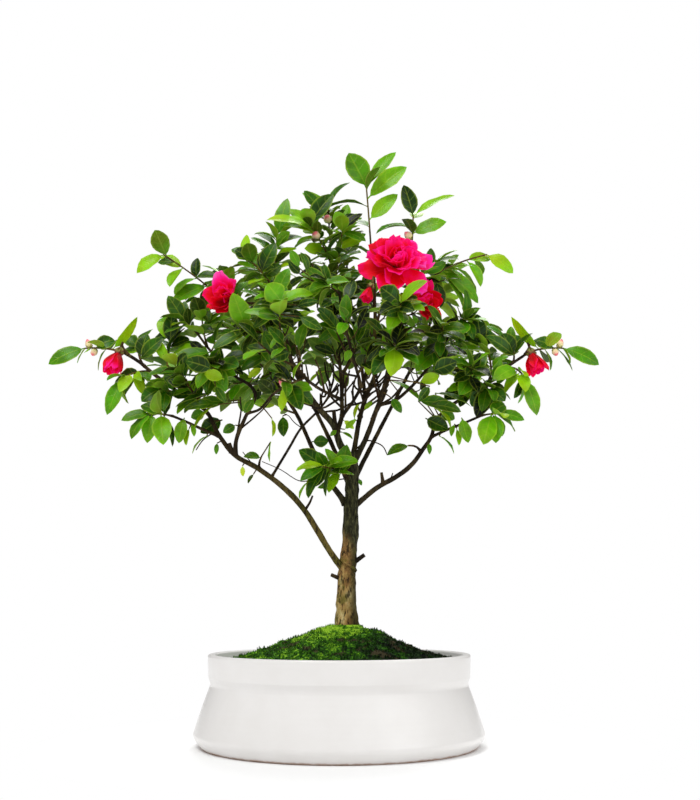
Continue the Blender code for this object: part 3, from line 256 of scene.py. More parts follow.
def floor_material():
    made, tree, shader = start_material("white_table", 0.9, {
        "Base Color": (0.93, 0.93, 0.93, 1), "Specular IOR Level": 0.1})
    away = add(tree, "VectorMath", {0: place_on(tree)}, operation="LENGTH").outputs["Value"]
    glow = add(tree, "Emission", {"Color": (1, 1, 1, 1), "Strength": 1.0})
    show_mixed(tree, fit(tree, away, *SHADOW_REACH), shader.outputs["BSDF"], glow.outputs["Emission"])
    return made


def mesh_of(bm, name):
    """The bmesh as a mesh. The bmesh isn't needed afterwards."""
    mesh = bpy.data.meshes.new(name)
    bm.to_mesh(mesh)
    bm.free()
    return mesh


def lay_floor():
    bm = bmesh.new()
    bmesh.ops.create_grid(bm, x_segments=1, y_segments=1, size=FLOOR_SIZE / 2)
    floor = bpy.data.objects.new("floor", mesh_of(bm, "floor"))
    floor.data.materials.append(floor_material())
    show(floor)


def set_sky():
    world = bpy.data.worlds.new("studio")
    bpy.context.scene.world = world
    world.use_nodes = True
    tree = world.node_tree
    sky = tree.nodes["Background"]
    sky.inputs["Color"].default_value = (1, 1, 1, 1)
    path = add(tree, "LightPath").outputs
    unseen = add(tree, "MapRange", {"Value": path["Is Glossy Ray"], "To Min": SKY_GIVEN,
                                    "To Max": SKY_MIRRORED})
    strength = add(tree, "MapRange", {"Value": path["Is Camera Ray"], "To Min": unseen.outputs["Result"],
                                      "To Max": SKY_SEEN})
    join(tree, strength.outputs["Result"], sky.inputs["Strength"])


def hang_light(name, place, size, power):
    data = bpy.data.lights.new(name, "AREA")
    data.size = size
    data.energy = power
    light = bpy.data.objects.new(name, data)
    light.location = place
    light.rotation_euler = (LIGHT_AIM - Vector(place)).to_track_quat("-Z", "Y").to_euler()
    show(light)


lay_floor()
set_sky()
for light in LIGHTS:
    hang_light(*light)
bpy.context.scene.view_settings.view_transform = "Standard"
print("lights:", [light[0] for light in LIGHTS])

# %% [markdown]
# ## Finished pieces
#
# Each piece is built in a bmesh. The last helper turns it into an object with its finishes, hangs it on the
# body it rides on, and hides the solids that it stands for.

# %% Helper for pieces
made_faces = {}


def copy_into(bm, mesh):
    """The new vertices of a mesh that is added to a bmesh."""
    before = len(bm.verts)
    bm.from_mesh(mesh)
    bm.verts.ensure_lookup_table()
    return bm.verts[before:]


def tone_layer(bm):
    """The layer that holds a leaf's tone, painted shade included, or a petal's pink, painted highlight
    included.
    """
    return bm.verts.layers.float.get("tone") or bm.verts.layers.float.new("tone")


def paint(faces, index):
    """Faces given one of the finishes of their piece."""
    for face in faces:
        face.material_index = index


def faces_of(start):
    """The triangles of all pieces whose names start alike."""
    return sum(count for name, count in made_faces.items() if name.startswith(start))


def finish_piece(name, bm, materials, nodes=(), smooth_to=40):
    """The bmesh as a piece of the bonsai, shaded smooth up to an angle in degrees."""
    mesh = mesh_of(bm, name)
    mesh.shade_smooth()
    mesh.set_sharp_from_angle(angle=math.radians(smooth_to))
    for material in materials:
        mesh.materials.append(material)
    piece = bpy.data.objects.new(name, mesh)
    show(piece)
    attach(piece, "root")
    if nodes:
        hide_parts(*nodes)
    made_faces[name] = sum(len(face.vertices) - 2 for face in mesh.polygons)

# %% [markdown]
# ## Pot
#
# The pot is thrown and glazed white: an upright rim band, a waist, a body that flares to a heavy foot, and
# a rounded underside edge where the glaze ends in a thin brown line. It is made by spinning its half
# outline round the axis. The outline has the solid's sizes, and each corner gets a small arc, because glaze
# never lies over a sharp edge.

# %% Spin the pot
POT_OUTLINE = (  # radius, height, radius of the round at that corner
    (0.0000, 0.0000, 0.0000),
    (0.1335, 0.0000, 0.0020),
    (0.1425, 0.0108, 0.0065),
    (0.1330, 0.0400, 0.0300),
    (0.1260, 0.0590, 0.0080),
    (0.1284, 0.0655, 0.0040),
    (0.1294, 0.0870, 0.0022),
    (0.1215, 0.0870, 0.0022),
    (0.1180, 0.0600, 0.0080),
    (0.1330, 0.0110, 0.0060),
    (0.1300, 0.0090, 0.0010),
    (0.0000, 0.0090, 0.0000),
)
POT_STEPS = 144
ARC_STEPS = 6


def rounded(outline):
    """The outline's points, with each corner replaced by the arc that touches both of its sides."""
    points = [Vector((radius, 0, height)) for radius, height, _ in outline]
    made = [points[0]]
    for before, corner, after, (_, _, size) in zip(points, points[1:], points[2:], outline[1:-1]):
        to_before, to_after = (before - corner).normalized(), (after - corner).normalized()
        half = to_before.angle(to_after) / 2
        reach = min(size / math.tan(half), 0.48 * (before - corner).length, 0.48 * (after - corner).length)
        size = reach * math.tan(half)
        middle = corner + (to_before + to_after).normalized() * size / math.sin(half)
        start, end = corner + to_before * reach - middle, corner + to_after * reach - middle
        for k in range(ARC_STEPS + 1):
            made.append(middle + start.slerp(end, k / ARC_STEPS, start) * size)
    return made + [points[-1]]


def spin_outline(outline, steps):
    bm = bmesh.new()
    points = [bm.verts.new(point) for point in outline]
    edges = [bm.edges.new(pair) for pair in zip(points, points[1:])]
    bmesh.ops.spin(bm, geom=points + edges, cent=(0, 0, 0), axis=UP, dvec=(0, 0, 0), angle=2 * math.pi,
                   steps=steps, use_merge=True, use_duplicate=False)
    bmesh.ops.remove_doubles(bm, verts=bm.verts, dist=1e-6)
    bmesh.ops.recalc_face_normals(bm, faces=bm.faces)
    return bm


# %% [markdown]
# The glaze is a satin white, a little warm and hardly grained. At the foot the bare clay shows as a thin
# brown line, and faint rings of the throwing run round the body. They are only a fraction of a millimetre
# deep, so they are bump in the finish.

# %% Glaze the pot
GLAZE = colour(236, 234, 232)
GLAZE_SHADE = colour(228, 225, 222)
CLAY_LINE = colour(176, 146, 128)
GLAZE_ROUGH, CLAY_ROUGH = 0.32, 0.8


def glaze_material():
    made, tree, shader = start_material("white_glaze", GLAZE_ROUGH, {"Coat Weight": 0.25,
                                                                     "Coat Roughness": 0.18})
    place = place_on(tree)
    white = blend(tree, mottling(tree, 0.05, 1.6), GLAZE_SHADE, GLAZE)
    uneven = maths(tree, "MULTIPLY_ADD", mottling(tree, 0.012, 2.0), 0.0016, split(tree, place)["Z"])
    foot = fit(tree, uneven, 0.0034, 0.0012)
    join(tree, blend(tree, foot, white, CLAY_LINE), shader.inputs["Base Color"])
    join(tree, fit(tree, foot, 0.0, 1.0, GLAZE_ROUGH, CLAY_ROUGH), shader.inputs["Roughness"])
    rings = add(tree, "TexWave", {"Vector": place, "Scale": 60.0, "Distortion": 1.5, "Detail": 2.0,
                                  "Detail Scale": 2.0}, wave_type="BANDS", bands_direction="Z")
    bump(tree, rings.outputs["Fac"], shader, 0.03, 0.001)
    return made


finish_piece("white_pot", spin_outline(rounded(POT_OUTLINE), POT_STEPS), [glaze_material()],
             ["pot"])
print("pot faces:", made_faces["white_pot"])

# %% [markdown]
# ## Gravel and soil
#
# These fill the pot under the moss, where nobody sees them until the part is taken apart. Their solids have
# the right shape already, so they only get their finishes: warm grey stones as cells with painted shade in
# the gaps between them, and dark earth.

# %% Finish the gravel and the soil
def gravel_material():
    made, tree, shader = start_material("drainage_gravel", 0.9)
    cells = {"Vector": place_on(tree), "Scale": 140.0}
    stones = add(tree, "TexVoronoi", cells)
    edges = add(tree, "TexVoronoi", cells, feature="DISTANCE_TO_EDGE")
    grey = add(tree, "SeparateColor", {0: stones.outputs["Color"]}).outputs[0]
    shades = ramp(tree, grey, (0.0, (110, 92, 74)), (0.5, (158, 140, 118)), (1.0, (190, 178, 160)))
    # Painted shade: the gaps between the stones are painted dark.
    painted_shade_gap = fit(tree, edges.outputs["Distance"], 0.0, 0.12)
    join(tree, blend(tree, painted_shade_gap, colour(48, 38, 30), shades), shader.inputs["Base Color"])
    bump(tree, painted_shade_gap, shader, 0.8, 0.002)
    return made


def soil_material():
    made, tree, shader = start_material("dark_soil", 0.95)
    crumbs = mottling(tree, 0.004, 2.5)
    earth = ramp(tree, crumbs, (0.0, (32, 22, 15)), (0.6, (66, 48, 34)), (1.0, (104, 80, 58)))
    join(tree, earth, shader.inputs["Base Color"])
    bump(tree, crumbs, shader, 0.7, 0.0015)
    return made


for node, finish in (("drainage_gravel", gravel_material()), ("soil", soil_material())):
    for slot in frame["nodes"][node].material_slots:
        slot.material = finish
print("kept solids with a new finish: drainage_gravel, soil")

# %% [markdown]
# ## Wood
#
# The trunk rises straight from the moss, forks at about half its height and carries thin limbs that arch
# out to both sides. The solid of the wood follows lines through a few chosen points, so the finer wood
# grows along the same lines: tubes whose skin is rough where the wood is thick, with a collar where each
# limb leaves. A tube is a small polygon that is extruded ring by ring.

# %% Lines that the wood grows along
# The trunk: points, each with its radius.
TRUNK = (
    (7, 0, 46, 8), (7, 0, 75, 12), (7, 0, 104, 15), (7, 0, 117, 12.5), (7, 0, 139, 10.1), (8, 0, 171, 9.2),
    (11, 0, 207, 8.4), (12, 0, 244, 7.7), (13, 0, 270, 6.8), (13, 0, 288, 5.4))
# The limbs: radius at the start, radius at the end, and points.
LIMBS = {
    "low_left": (3.4, 1.6, ((6, 0, 167), (-9, -4, 186), (-34, -10, 226), (-55, -16, 249), (-82, -20, 269),
        (-105, -22, 282), (-122, -20, 303), (-136, -16, 328), (-162, -12, 346), (-189, -8, 366),
        (-210, -6, 383), (-230, -4, 395))),
    "left_low_fork": (1.7, 1.3, ((-122, -20, 302), (-136, -25, 307), (-152, -30, 314), (-167, -34, 320))),
    "left_rise": (2.2, 1.3, ((-105, -22, 282), (-103, -27, 299), (-94, -31, 320), (-85, -30, 340),
        (-91, -26, 353), (-107, -20, 364), (-132, -14, 390), (-150, -8, 414))),
    "left_rise_fork": (1.5, 1.2, ((-93, -31, 323), (-79, -40, 326), (-67, -48, 338), (-55, -54, 346))),
    "thin_cross": (1.4, 1.1, ((-68, -18, 261), (-52, -10, 290), (-40, -4, 312), (-24, 6, 331),
        (-13, 16, 348), (-7, 28, 370))),
    "left_mid": (3.1, 1.3, ((6, 0, 236), (-10, 10, 258), (-21, 18, 277), (-32, 24, 302), (-45, 34, 331),
        (-58, 42, 353), (-74, 50, 380), (-91, 56, 409), (-104, 58, 438))),
    "centre_left": (4.1, 1.4, ((12, 0, 278), (1, -1, 295), (-7, -4, 316), (-23, -10, 334), (-38, -14, 355),
        (-48, -16, 375), (-55, -17, 402), (-62, -14, 435), (-68, -10, 466))),
    "centre_up": (2.5, 1.3, ((-3, -3, 309), (2, 2, 326), (2, 8, 344), (1, 13, 369), (-2, 18, 400),
        (-6, 18, 433), (-8, 15, 465), (-10, 12, 495))),
    "centre_fork": (1.9, 1.3, ((2, 2, 326), (13, -12, 338), (22, -24, 352), (29, -34, 367), (34, -42, 386),
        (36, -46, 411))),
    "leader": (3, 1.3, ((13, 0, 279), (16, 5, 298), (21, 11, 327), (29, 15, 353), (38, 18, 378),
        (40, 17, 411), (37, 13, 442), (34, 8, 476), (33, 3, 506))),
    "right_up": (3.1, 1.3, ((13, 0, 275), (27, -5, 302), (37, -9, 329), (48, -13, 357), (56, -15, 382),
        (63, -14, 414), (70, -10, 449), (75, -5, 492))),
    "right_fork": (1.9, 1.3, ((40, -9, 336), (57, -6, 341), (75, 4, 358), (92, 15, 379), (107, 20, 400),
        (118, 20, 420))),
    "low_right": (2.9, 1.4, ((12, 0, 230), (36, -2, 250), (57, -5, 262), (73, -8, 274), (85, -10, 290),
        (93, -12, 302), (98, -12, 318), (109, -10, 331), (129, -8, 345), (153, -6, 361), (174, -4, 377),
        (200, -2, 395))),
    "right_low_fork": (1.6, 1.2, ((93, -12, 302), (108, -20, 308), (125, -26, 314), (143, -32, 321))),
    "back_left": (2.9, 1.3, ((11, 0, 251), (3, 16, 272), (-11, 42, 307), (-31, 68, 351), (-52, 88, 396),
        (-69, 100, 435), (-80, 106, 465))),
    "back_right": (2.9, 1.3, ((13, 0, 257), (24, 18, 280), (41, 43, 316), (62, 68, 359), (83, 88, 403),
        (98, 99, 438), (107, 104, 466))),
    "back_mid": (2.2, 1.3, ((21, 11, 327), (26, 40, 356), (23, 68, 395), (17, 88, 440), (11, 94, 479),
        (7, 88, 513))),
    "front_left": (1.8, 1.2, ((2, 7, 344), (-11, -22, 345), (-23, -48, 347), (-37, -76, 354),
        (-48, -96, 369), (-56, -106, 390))),
    "front_right": (1.8, 1.2, ((34, -8, 321), (42, -32, 341), (47, -58, 360), (53, -80, 382),
        (60, -92, 404))),
    "front_mid": (1.7, 1.2, ((22, -24, 352), (17, -50, 364), (11, -75, 381), (4, -90, 406), (0, -96, 430))),
}
# Cut-back stubs: limb, share along it, which way, length, radius.
STUBS = (
    ("trunk", 0.52, (0.8, -0.2, 0.55), 21, 2.1),
    ("trunk", 0.46, (-0.85, -0.35, 0.35), 18, 1.8),
    ("centre_left", 0.17, (-0.1, -0.2, 0.97), 22, 1.9),
    ("low_left", 0.5, (-0.25, -0.3, 0.9), 10, 1.6),
    ("low_right", 0.16, (-0.15, -0.25, 0.95), 12, 1.4),
)
SOLID_STEP = 0.037  # the solids' limbs are straight over steps of this length
TRUNK_SLIM = 0.94  # the uneven bark stands out from this much of the trunk's radius
FINE = 1e-9
AHEAD_STEP = 0.02


class Path:
    """A line of straight steps with a radius at each point, measured by the share of its length."""

    def __init__(self, points, radii, ways=None):
        self.points = [Vector(p) for p in points]
        self.radii = list(radii)
        self.ways = ways
        self.reach = [0.0]
        for a, b in zip(self.points, self.points[1:]):
            self.reach.append(self.reach[-1] + (b - a).length)
        self.length = self.reach[-1]

    def where(self, share):
        """The step that a share falls in, and how far into it."""
        goal = min(max(share, 0.0), 1.0) * self.length
        k = next(i for i in range(1, len(self.reach)) if self.reach[i] >= goal - FINE)
        return k - 1, (goal - self.reach[k - 1]) / (self.reach[k] - self.reach[k - 1])

    def at(self, share):
        k, part = self.where(share)
        return self.points[k].lerp(self.points[k + 1], part)

    def ahead(self, share):
        return (self.at(share + AHEAD_STEP) - self.at(share - AHEAD_STEP)).normalized()

    def radius(self, share):
        k, part = self.where(share)
        return self.radii[k] + (self.radii[k + 1] - self.radii[k]) * part

    def part(self, first, last, step):
        """The stretch between two shares, in equal straight pieces of about the given step."""
        count = max(1, round((last - first) * self.length / step))
        shares = [first + (last - first) * k / count for k in range(count + 1)]
        return Path([self.at(share) for share in shares], [self.radius(share) for share in shares],
                    [self.ahead(share) for share in shares])


def smooth(points, radii, steps=10):
    """A path that curves through chosen points."""
    points = [Vector(p) for p in points]
    ends = [2 * points[0] - points[1], *points, 2 * points[-1] - points[-2]]
    line, wide = [], []
    for k in range(len(points) - 1):
        a, b, c, d = ends[k:k + 4]
        for step in range(steps):
            t = step / steps
            line.append(0.5 * ((2 * b) + (c - a) * t + (2 * a - 5 * b + 4 * c - d) * t * t
                               + (3 * b - a - 3 * c + d) * t ** 3))
            wide.append(radii[k] + (radii[k + 1] - radii[k]) * t)
    return Path(line + [points[-1]], wide + [radii[-1]])


def limb_lines():
    """Each limb as a smooth line, and as the solids' line of straight steps."""
    points, radii = [MM * Vector(row[:3]) for row in TRUNK], [MM * row[3] for row in TRUNK]
    smooth_lines = {"trunk": smooth(points, [TRUNK_SLIM * radius for radius in radii])}
    solid_lines = {"trunk": Path(points, radii)}
    for name, (thick, thin, points) in LIMBS.items():
        last = len(points) - 1
        radii = [MM * (thick + (thin - thick) * (k / last) ** 0.8) for k in range(last + 1)]
        smooth_lines[name] = smooth([MM * Vector(point) for point in points], radii)
        solid_lines[name] = smooth_lines[name].part(0, 1, SOLID_STEP)
    return smooth_lines, solid_lines


smooth_limbs, solid_limbs = limb_lines()
print("limbs:", len(LIMBS), "with", round(sum(line.length for line in smooth_limbs.values()), 2), "m of line")

# %% [markdown]
# The bark needs two numbers at each point of its mesh: how thick the wood is there, and how young. Thick
# wood has tan and olive plates, thin wood is nearly black, and the newest shoots are reddish green. Both
# numbers are stored as attributes, which the material reads.

# %% Grow a tube of wood
BARK_STEP = 0.0017
BARK_ROUGH = 0.15  # unevenness of the thickest wood, as a share of its radius
BARK_GRAIN = Vector((260, 260, 75))  # the unevenness is drawn out along the trunk
THICKEST = 0.0105
FOLD_HEIGHT, FOLD_SLANT, FOLD_WIDE = 0.18, 0.77, 0.0022  # it runs down from the low limb
FOLD_RISE, FOLD_FADES = 0.32, 0.005
COLLAR = 0.55
COLLAR_REACH = 1.6
FOLD_ON = 0.7  # only wood that is thicker than this has the fold
SWELLINGS, KNOTS = 60, 190  # how close they lie
FIRST_SIDE = Vector((0.31, -0.95, 0.05))  # roughly where the first corner of a tube points


def ring_points(centre, ahead, side, radius, sides):
    across = ahead.cross(side).normalized()
    side = across.cross(ahead).normalized()
    turns = [2 * math.pi * k / sides for k in range(sides)]
    return side, [centre + radius * (math.cos(a) * side + math.sin(a) * across) for a in turns]


def extrude_rings(bm, rings):
    """A closed body through rings of points: a polygon extruded from each ring to the next."""
    face = bm.faces.new([bm.verts.new(point) for point in rings[0]])
    first = list(face.verts)
    made = [first]
    for ring in rings[1:]:
        face = bmesh.ops.extrude_discrete_faces(bm, faces=[face])["faces"][0]
        for vertex, point in zip(face.verts, ring):
            vertex.co = point
        made.append(list(face.verts))
    bm.faces.new(reversed(first))
    return made


def fold_rise(point):
    """How far the fold of bark on the trunk's front stands out."""
    off = (point.z - FOLD_HEIGHT + FOLD_SLANT * point.x) / FOLD_WIDE
    facing = min(max(-point.y / FOLD_FADES, 0.0), 1.0)
    return facing * FOLD_RISE * (math.exp(-off * off) - 0.7 * math.exp(-(off + 1.5) ** 2))


def rough_radius(point, radius, thick):
    """The radius at a point of the bark, uneven by fine noise along the grain and by broad swellings."""
    grain = noise.noise(point * BARK_GRAIN)
    swelling, knots = noise.noise(point * SWELLINGS), noise.noise(point * KNOTS)
    fold = fold_rise(point) if thick > FOLD_ON else 0.0
    return radius * (1 + BARK_ROUGH * thick * (grain + swelling) + 0.06 * swelling + 0.09 * knots + fold)


def grow_tube(line, sides, step, young=0.0, collar=0.0):
    """A tube of wood as a mesh. collar widens its start, as where a limb leaves the trunk."""
    count = max(2, round(line.length / step))
    bm = bmesh.new()
    girth = bm.verts.layers.float.new("girth")
    youth = bm.verts.layers.float.new("youth")
    rings, side = [], FIRST_SIDE
    for k in range(count + 1):
        share = k / count
        radius, centre = line.radius(share), line.at(share)
        swell = collar * math.exp(-share * line.length / (COLLAR_REACH * line.radii[0]))
        side, ring = ring_points(centre, line.ahead(share), side, radius * (1 + swell), sides)
        thick = min(radius / THICKEST, 1.0)
        rings.append([centre + (p - centre) * rough_radius(p, radius, thick) / radius for p in ring])
    for k, ring in enumerate(extrude_rings(bm, rings)):
        for vertex in ring:
            vertex[girth] = min(line.radius(k / count) / THICKEST, 1.0)
            vertex[youth] = young
    bmesh.ops.recalc_face_normals(bm, faces=bm.faces)
    return mesh_of(bm, "part")


def gather(meshes):
    """Many small meshes in one bmesh."""
    bm = bmesh.new()
    for mesh in meshes:
        bm.from_mesh(mesh)
        bpy.data.meshes.remove(mesh)
    return bm


# %% Bark
DARK_FROM, DARK_AT = 0.21, 0.226  # heights between which the bark turns dark
DARK_EDGE = 0.02  # how unevenly, by the streaks
LIGHT_TO_LEFT = 1.0  # how much higher the light bark reaches per metre to the left
PAINTED_SHADE_FROM, PAINTED_SHADE_AT = 0.006, 0.015  # places across the trunk between which the painted shade on its right side begins


def bark_material():
    """Tan and olive low on the trunk, nearly black from its fork up."""
    made, tree, shader = start_material("camellia_bark", 0.82, {"Specular IOR Level": 0.15})
    girth, place = stored(tree, "girth"), split(tree, place_on(tree))
    plates = mottling(tree, 0.011, 2.6, (1.0, 1.0, 0.45))
    streaks = mottling(tree, 0.0022, 2.4, (1.0, 1.0, 0.3))
    patches = mottling(tree, 0.03, 3.2)
    tan = ramp(tree, plates, (0.0, (96, 70, 40)), (0.35, (146, 108, 62)), (0.65, (180, 148, 90)),
               (1.0, (220, 202, 146)))
    limb = blend(tree, fit(tree, girth, 0.8, 0.62, 0.0, 0.8), tan, colour(122, 112, 50))
    # Painted shade: the trunk's right side is painted dark olive.
    painted_shade_side = blend(tree, fit(tree, place["X"], PAINTED_SHADE_FROM, PAINTED_SHADE_AT, 0.0, 0.85), limb, colour(48, 50, 22))
    olive = blend(tree, fit(tree, patches, 0.45, 0.75, 0.0, 0.75), painted_shade_side, colour(92, 92, 28))
    old = blend(tree, fit(tree, streaks, 0.5, 0.2, 0.0, 0.9), olive, colour(40, 30, 16))
    thin = ramp(tree, plates, (0.0, (22, 16, 10)), (0.6, (52, 40, 24)), (1.0, (98, 82, 50)))
    height = maths(tree, "MULTIPLY_ADD", place["X"], LIGHT_TO_LEFT, place["Z"])
    uneven = maths(tree, "MULTIPLY_ADD", streaks, DARK_EDGE, height)
    dark = ramp(tree, streaks, (0.1, (18, 17, 10)), (0.55, (52, 52, 32)), (1.0, (98, 96, 62)))
    aged = blend(tree, fit(tree, uneven, DARK_FROM, DARK_AT), old, dark)
    brown = blend(tree, fit(tree, girth, 0.2, 0.36), thin, aged)
    shoot = ramp(tree, plates, (0.2, (92, 62, 34)), (0.8, (122, 104, 44)))
    join(tree, blend(tree, stored(tree, "youth"), brown, shoot), shader.inputs["Base Color"])
    bump(tree, maths(tree, "ADD", streaks, plates), shader, 0.75, 0.0012)
    return made


bark = bark_material()

# %% [markdown]
# ## Moss
#
# The mat is heaped up to the trunk and made of cushions. Its green is painted lighter on top and to the left
# as painted light, and nearly black in between as painted shade, placed by noise. A ring of edges round the
# trunk is extruded outward to the pot, and each point is raised by noise of three sizes. Moss is soft at its
# outline, so short tufts of a few bent spikes stand all over it.

# %% Lay the mat of moss
MOUND_FOOT = 0.079
MOUND_RISE = 0.036
MOUND_POWER = 1.25
MOSS_THICK = 0.0061
MOSS_TURNS = 200
MOSS_RINGS = 64
MOSS_UNDER = (1.0, 0.45, 0.0)  # shares of the way where the underside has its rings
MOSS_OUTSIDE = 0.1196
MOSS_HOLE = 0.0142
TRUNK_FOOT = Vector((0.007, 0, 0))
CUSHIONS = ((0.02, 0.004, 0.65), (0.0078, 0.0021, 3.1), (0.003, 0.0007, 7.7))  # size, height, layout


def mound(share):
    """Height of the moss at a share of the way from the trunk to the pot, without its cushions."""
    return MOUND_FOOT + MOUND_RISE * (1 - share) ** MOUND_POWER


def cushion(point, share):
    """How far the moss rises at a point."""
    edge = min(1.0, 0.25 + share / 0.1, 0.1 + (1 - share) / 0.1)
    rise = 0.0
    for size, height, layout in CUSHIONS:
        rise += height * noise.noise(Vector((point.x / size, point.y / size, layout)))
    return rise * edge


def ground_point(angle, share, outside=MOSS_OUTSIDE):
    """A point of the ground plane between the trunk's circle and the pot's."""
    way = Vector((math.cos(angle), math.sin(angle), 0))
    return (TRUNK_FOOT + way * MOSS_HOLE).lerp(way * outside, share)


def ground_ring(share):
    """A ring of such points, level at the mound's height."""
    turns = [2 * math.pi * k / MOSS_TURNS for k in range(MOSS_TURNS)]
    return [ground_point(angle, share) + UP * mound(share) for angle in turns]


def extrude_loop(bm, edges, order, ring):
    """A loop of edges extruded to a ring of points. order holds each vertex's place in the loop."""
    made = bmesh.ops.extrude_edge_only(bm, edges=edges)["geom"]
    step = {}
    for vertex in (item for item in made if isinstance(item, bmesh.types.BMVert)):
        old = next(e.other_vert(vertex) for e in vertex.link_edges if e.other_vert(vertex) in order)
        step[vertex] = order[old]
        vertex.co = ring[step[vertex]]
    return [item for item in made if isinstance(item, bmesh.types.BMEdge)], step


def moss_mat():
    bm = bmesh.new()
    first = [bm.verts.new(point) for point in ground_ring(0.0)]
    edges = [bm.edges.new((first[k - 1], first[k])) for k in range(MOSS_TURNS)]
    start, order = list(edges), {vertex: k for k, vertex in enumerate(first)}
    for k in range(1, MOSS_RINGS + 1):
        share = k / MOSS_RINGS
        ring = [p + UP * cushion(p, share) for p in ground_ring(share)]
        edges, order = extrude_loop(bm, edges, order, ring)
    for share in MOSS_UNDER:
        ring = [p - UP * MOSS_THICK for p in ground_ring(share)]
        edges, order = extrude_loop(bm, edges, order, ring)
    bmesh.ops.bridge_loops(bm, edges=edges + start)
    bmesh.ops.recalc_face_normals(bm, faces=bm.faces)
    return bm


# %% Tufts on the moss
TUFTS = 7000
TUFT_SEED = 41
TUFTS_OUTWARD = 0.62  # less than 1 sets more of them near the pot
TUFTS_INSIDE = 0.001
TUFT_HEIGHT = (0.001, 0.0028)
TUFT_WIDTH = 0.0011
TUFT_SPIKES = 3


def tuft_shape():
    """A tuft of three spikes that lean apart, each a pointed prism, in a bmesh."""
    bm = bmesh.new()
    for k in range(TUFT_SPIKES):
        lean = Quaternion(UP, 2 * math.pi * k / TUFT_SPIKES) @ Vector((0.35, 0, 0))
        cone = bmesh.ops.create_cone(bm, segments=3, radius1=0.42, radius2=0.0, depth=1.0, cap_ends=False)
        for vertex in cone["verts"]:
            vertex.co += Vector((0, 0, 0.42)) + lean * (0.6 + vertex.co.z)
    return bm


def add_tufts():
    """Tufts all over the mound, larger on the cushions than between them."""
    rng = random.Random(TUFT_SEED)
    tuft = mesh_of(tuft_shape(), "tuft")
    bm = bmesh.new()
    for _ in range(TUFTS):
        share = rng.uniform(0.0, 1.0) ** TUFTS_OUTWARD
        foot = ground_point(rng.uniform(0, 2 * math.pi), share, MOSS_OUTSIDE - TUFTS_INSIDE)
        rise = cushion(foot, share)
        foot.z = mound(share) + rise
        height = rng.uniform(*TUFT_HEIGHT) * (1 + 0.3 * rise / CUSHIONS[0][1])
        turn = Quaternion(UP, rng.uniform(0, 2 * math.pi))
        tilt = Quaternion(Vector((1, 0, 0)), rng.uniform(-0.5, 0.5))
        for vertex in copy_into(bm, tuft):
            shaped = Vector((vertex.co.x * TUFT_WIDTH, vertex.co.y * TUFT_WIDTH, vertex.co.z * height))
            vertex.co = foot + turn @ tilt @ shaped
    bpy.data.meshes.remove(tuft)
    return bm


# %% Colour the moss
def moss_material():
    made, tree, shader = start_material("moss", 0.92, {"Specular IOR Level": 0.08})
    place = split(tree, place_on(tree))
    patches, crumbs = mottling(tree, 0.02, 3.0), mottling(tree, 0.0018, 3.4)
    lush_and_painted_light = 0.0
    # Painted light and shade: the sum rises to the left and higher up the mound, and the near-black end of
    # the ramp is painted shade between cushions.
    for share, mask in ((0.34, patches), (0.3, mottling(tree, 0.007, 3.0)), (0.34, crumbs),
                        (0.26, fit(tree, place["X"], 0.045, -0.01)),
                        (0.2, fit(tree, place["Z"], 0.092, 0.112))):
        lush_and_painted_light = maths(tree, "MULTIPLY_ADD", mask, share, lush_and_painted_light)
    green = ramp(tree, lush_and_painted_light, (0.32, (5, 8, 5)), (0.54, (18, 36, 9)), (0.74, (38, 80, 13)),
                 (0.9, (72, 126, 20)), (1.0, (150, 196, 48)))
    stony = blend(tree, fit(tree, patches, 0.3, 0.1, 0.0, 0.7), green, colour(74, 66, 44))
    join(tree, stony, shader.inputs["Base Color"])
    bump(tree, crumbs, shader, 0.6, 0.0012)
    return made


moss = moss_material()
finish_piece("moss_mat", moss_mat(), [moss], ["moss"])
finish_piece("moss_tufts", add_tufts(), [moss], ["moss"])
print("moss faces:", faces_of("moss"))

# %% [markdown]
# ## Shoots
#
# Each leafy shoot leaves its limb as a bare branch, bends towards the light and ends in a twig with leaves.
# In the solids, a branch's middle is pushed aside until it runs clear. The same lines are found again here
# by trying the same pushes and keeping the one whose twig starts where the solid's does.

# %% Find the lines of the shoots
MIRROR_X = -16.5  # the middle of the two sides that mirror each other
SHOOT_LEAF_STEP = 0.0068


def mirrored(point):
    """The same point on the tree's other side."""
    return (2 * MIRROR_X - point[0], *point[1:])


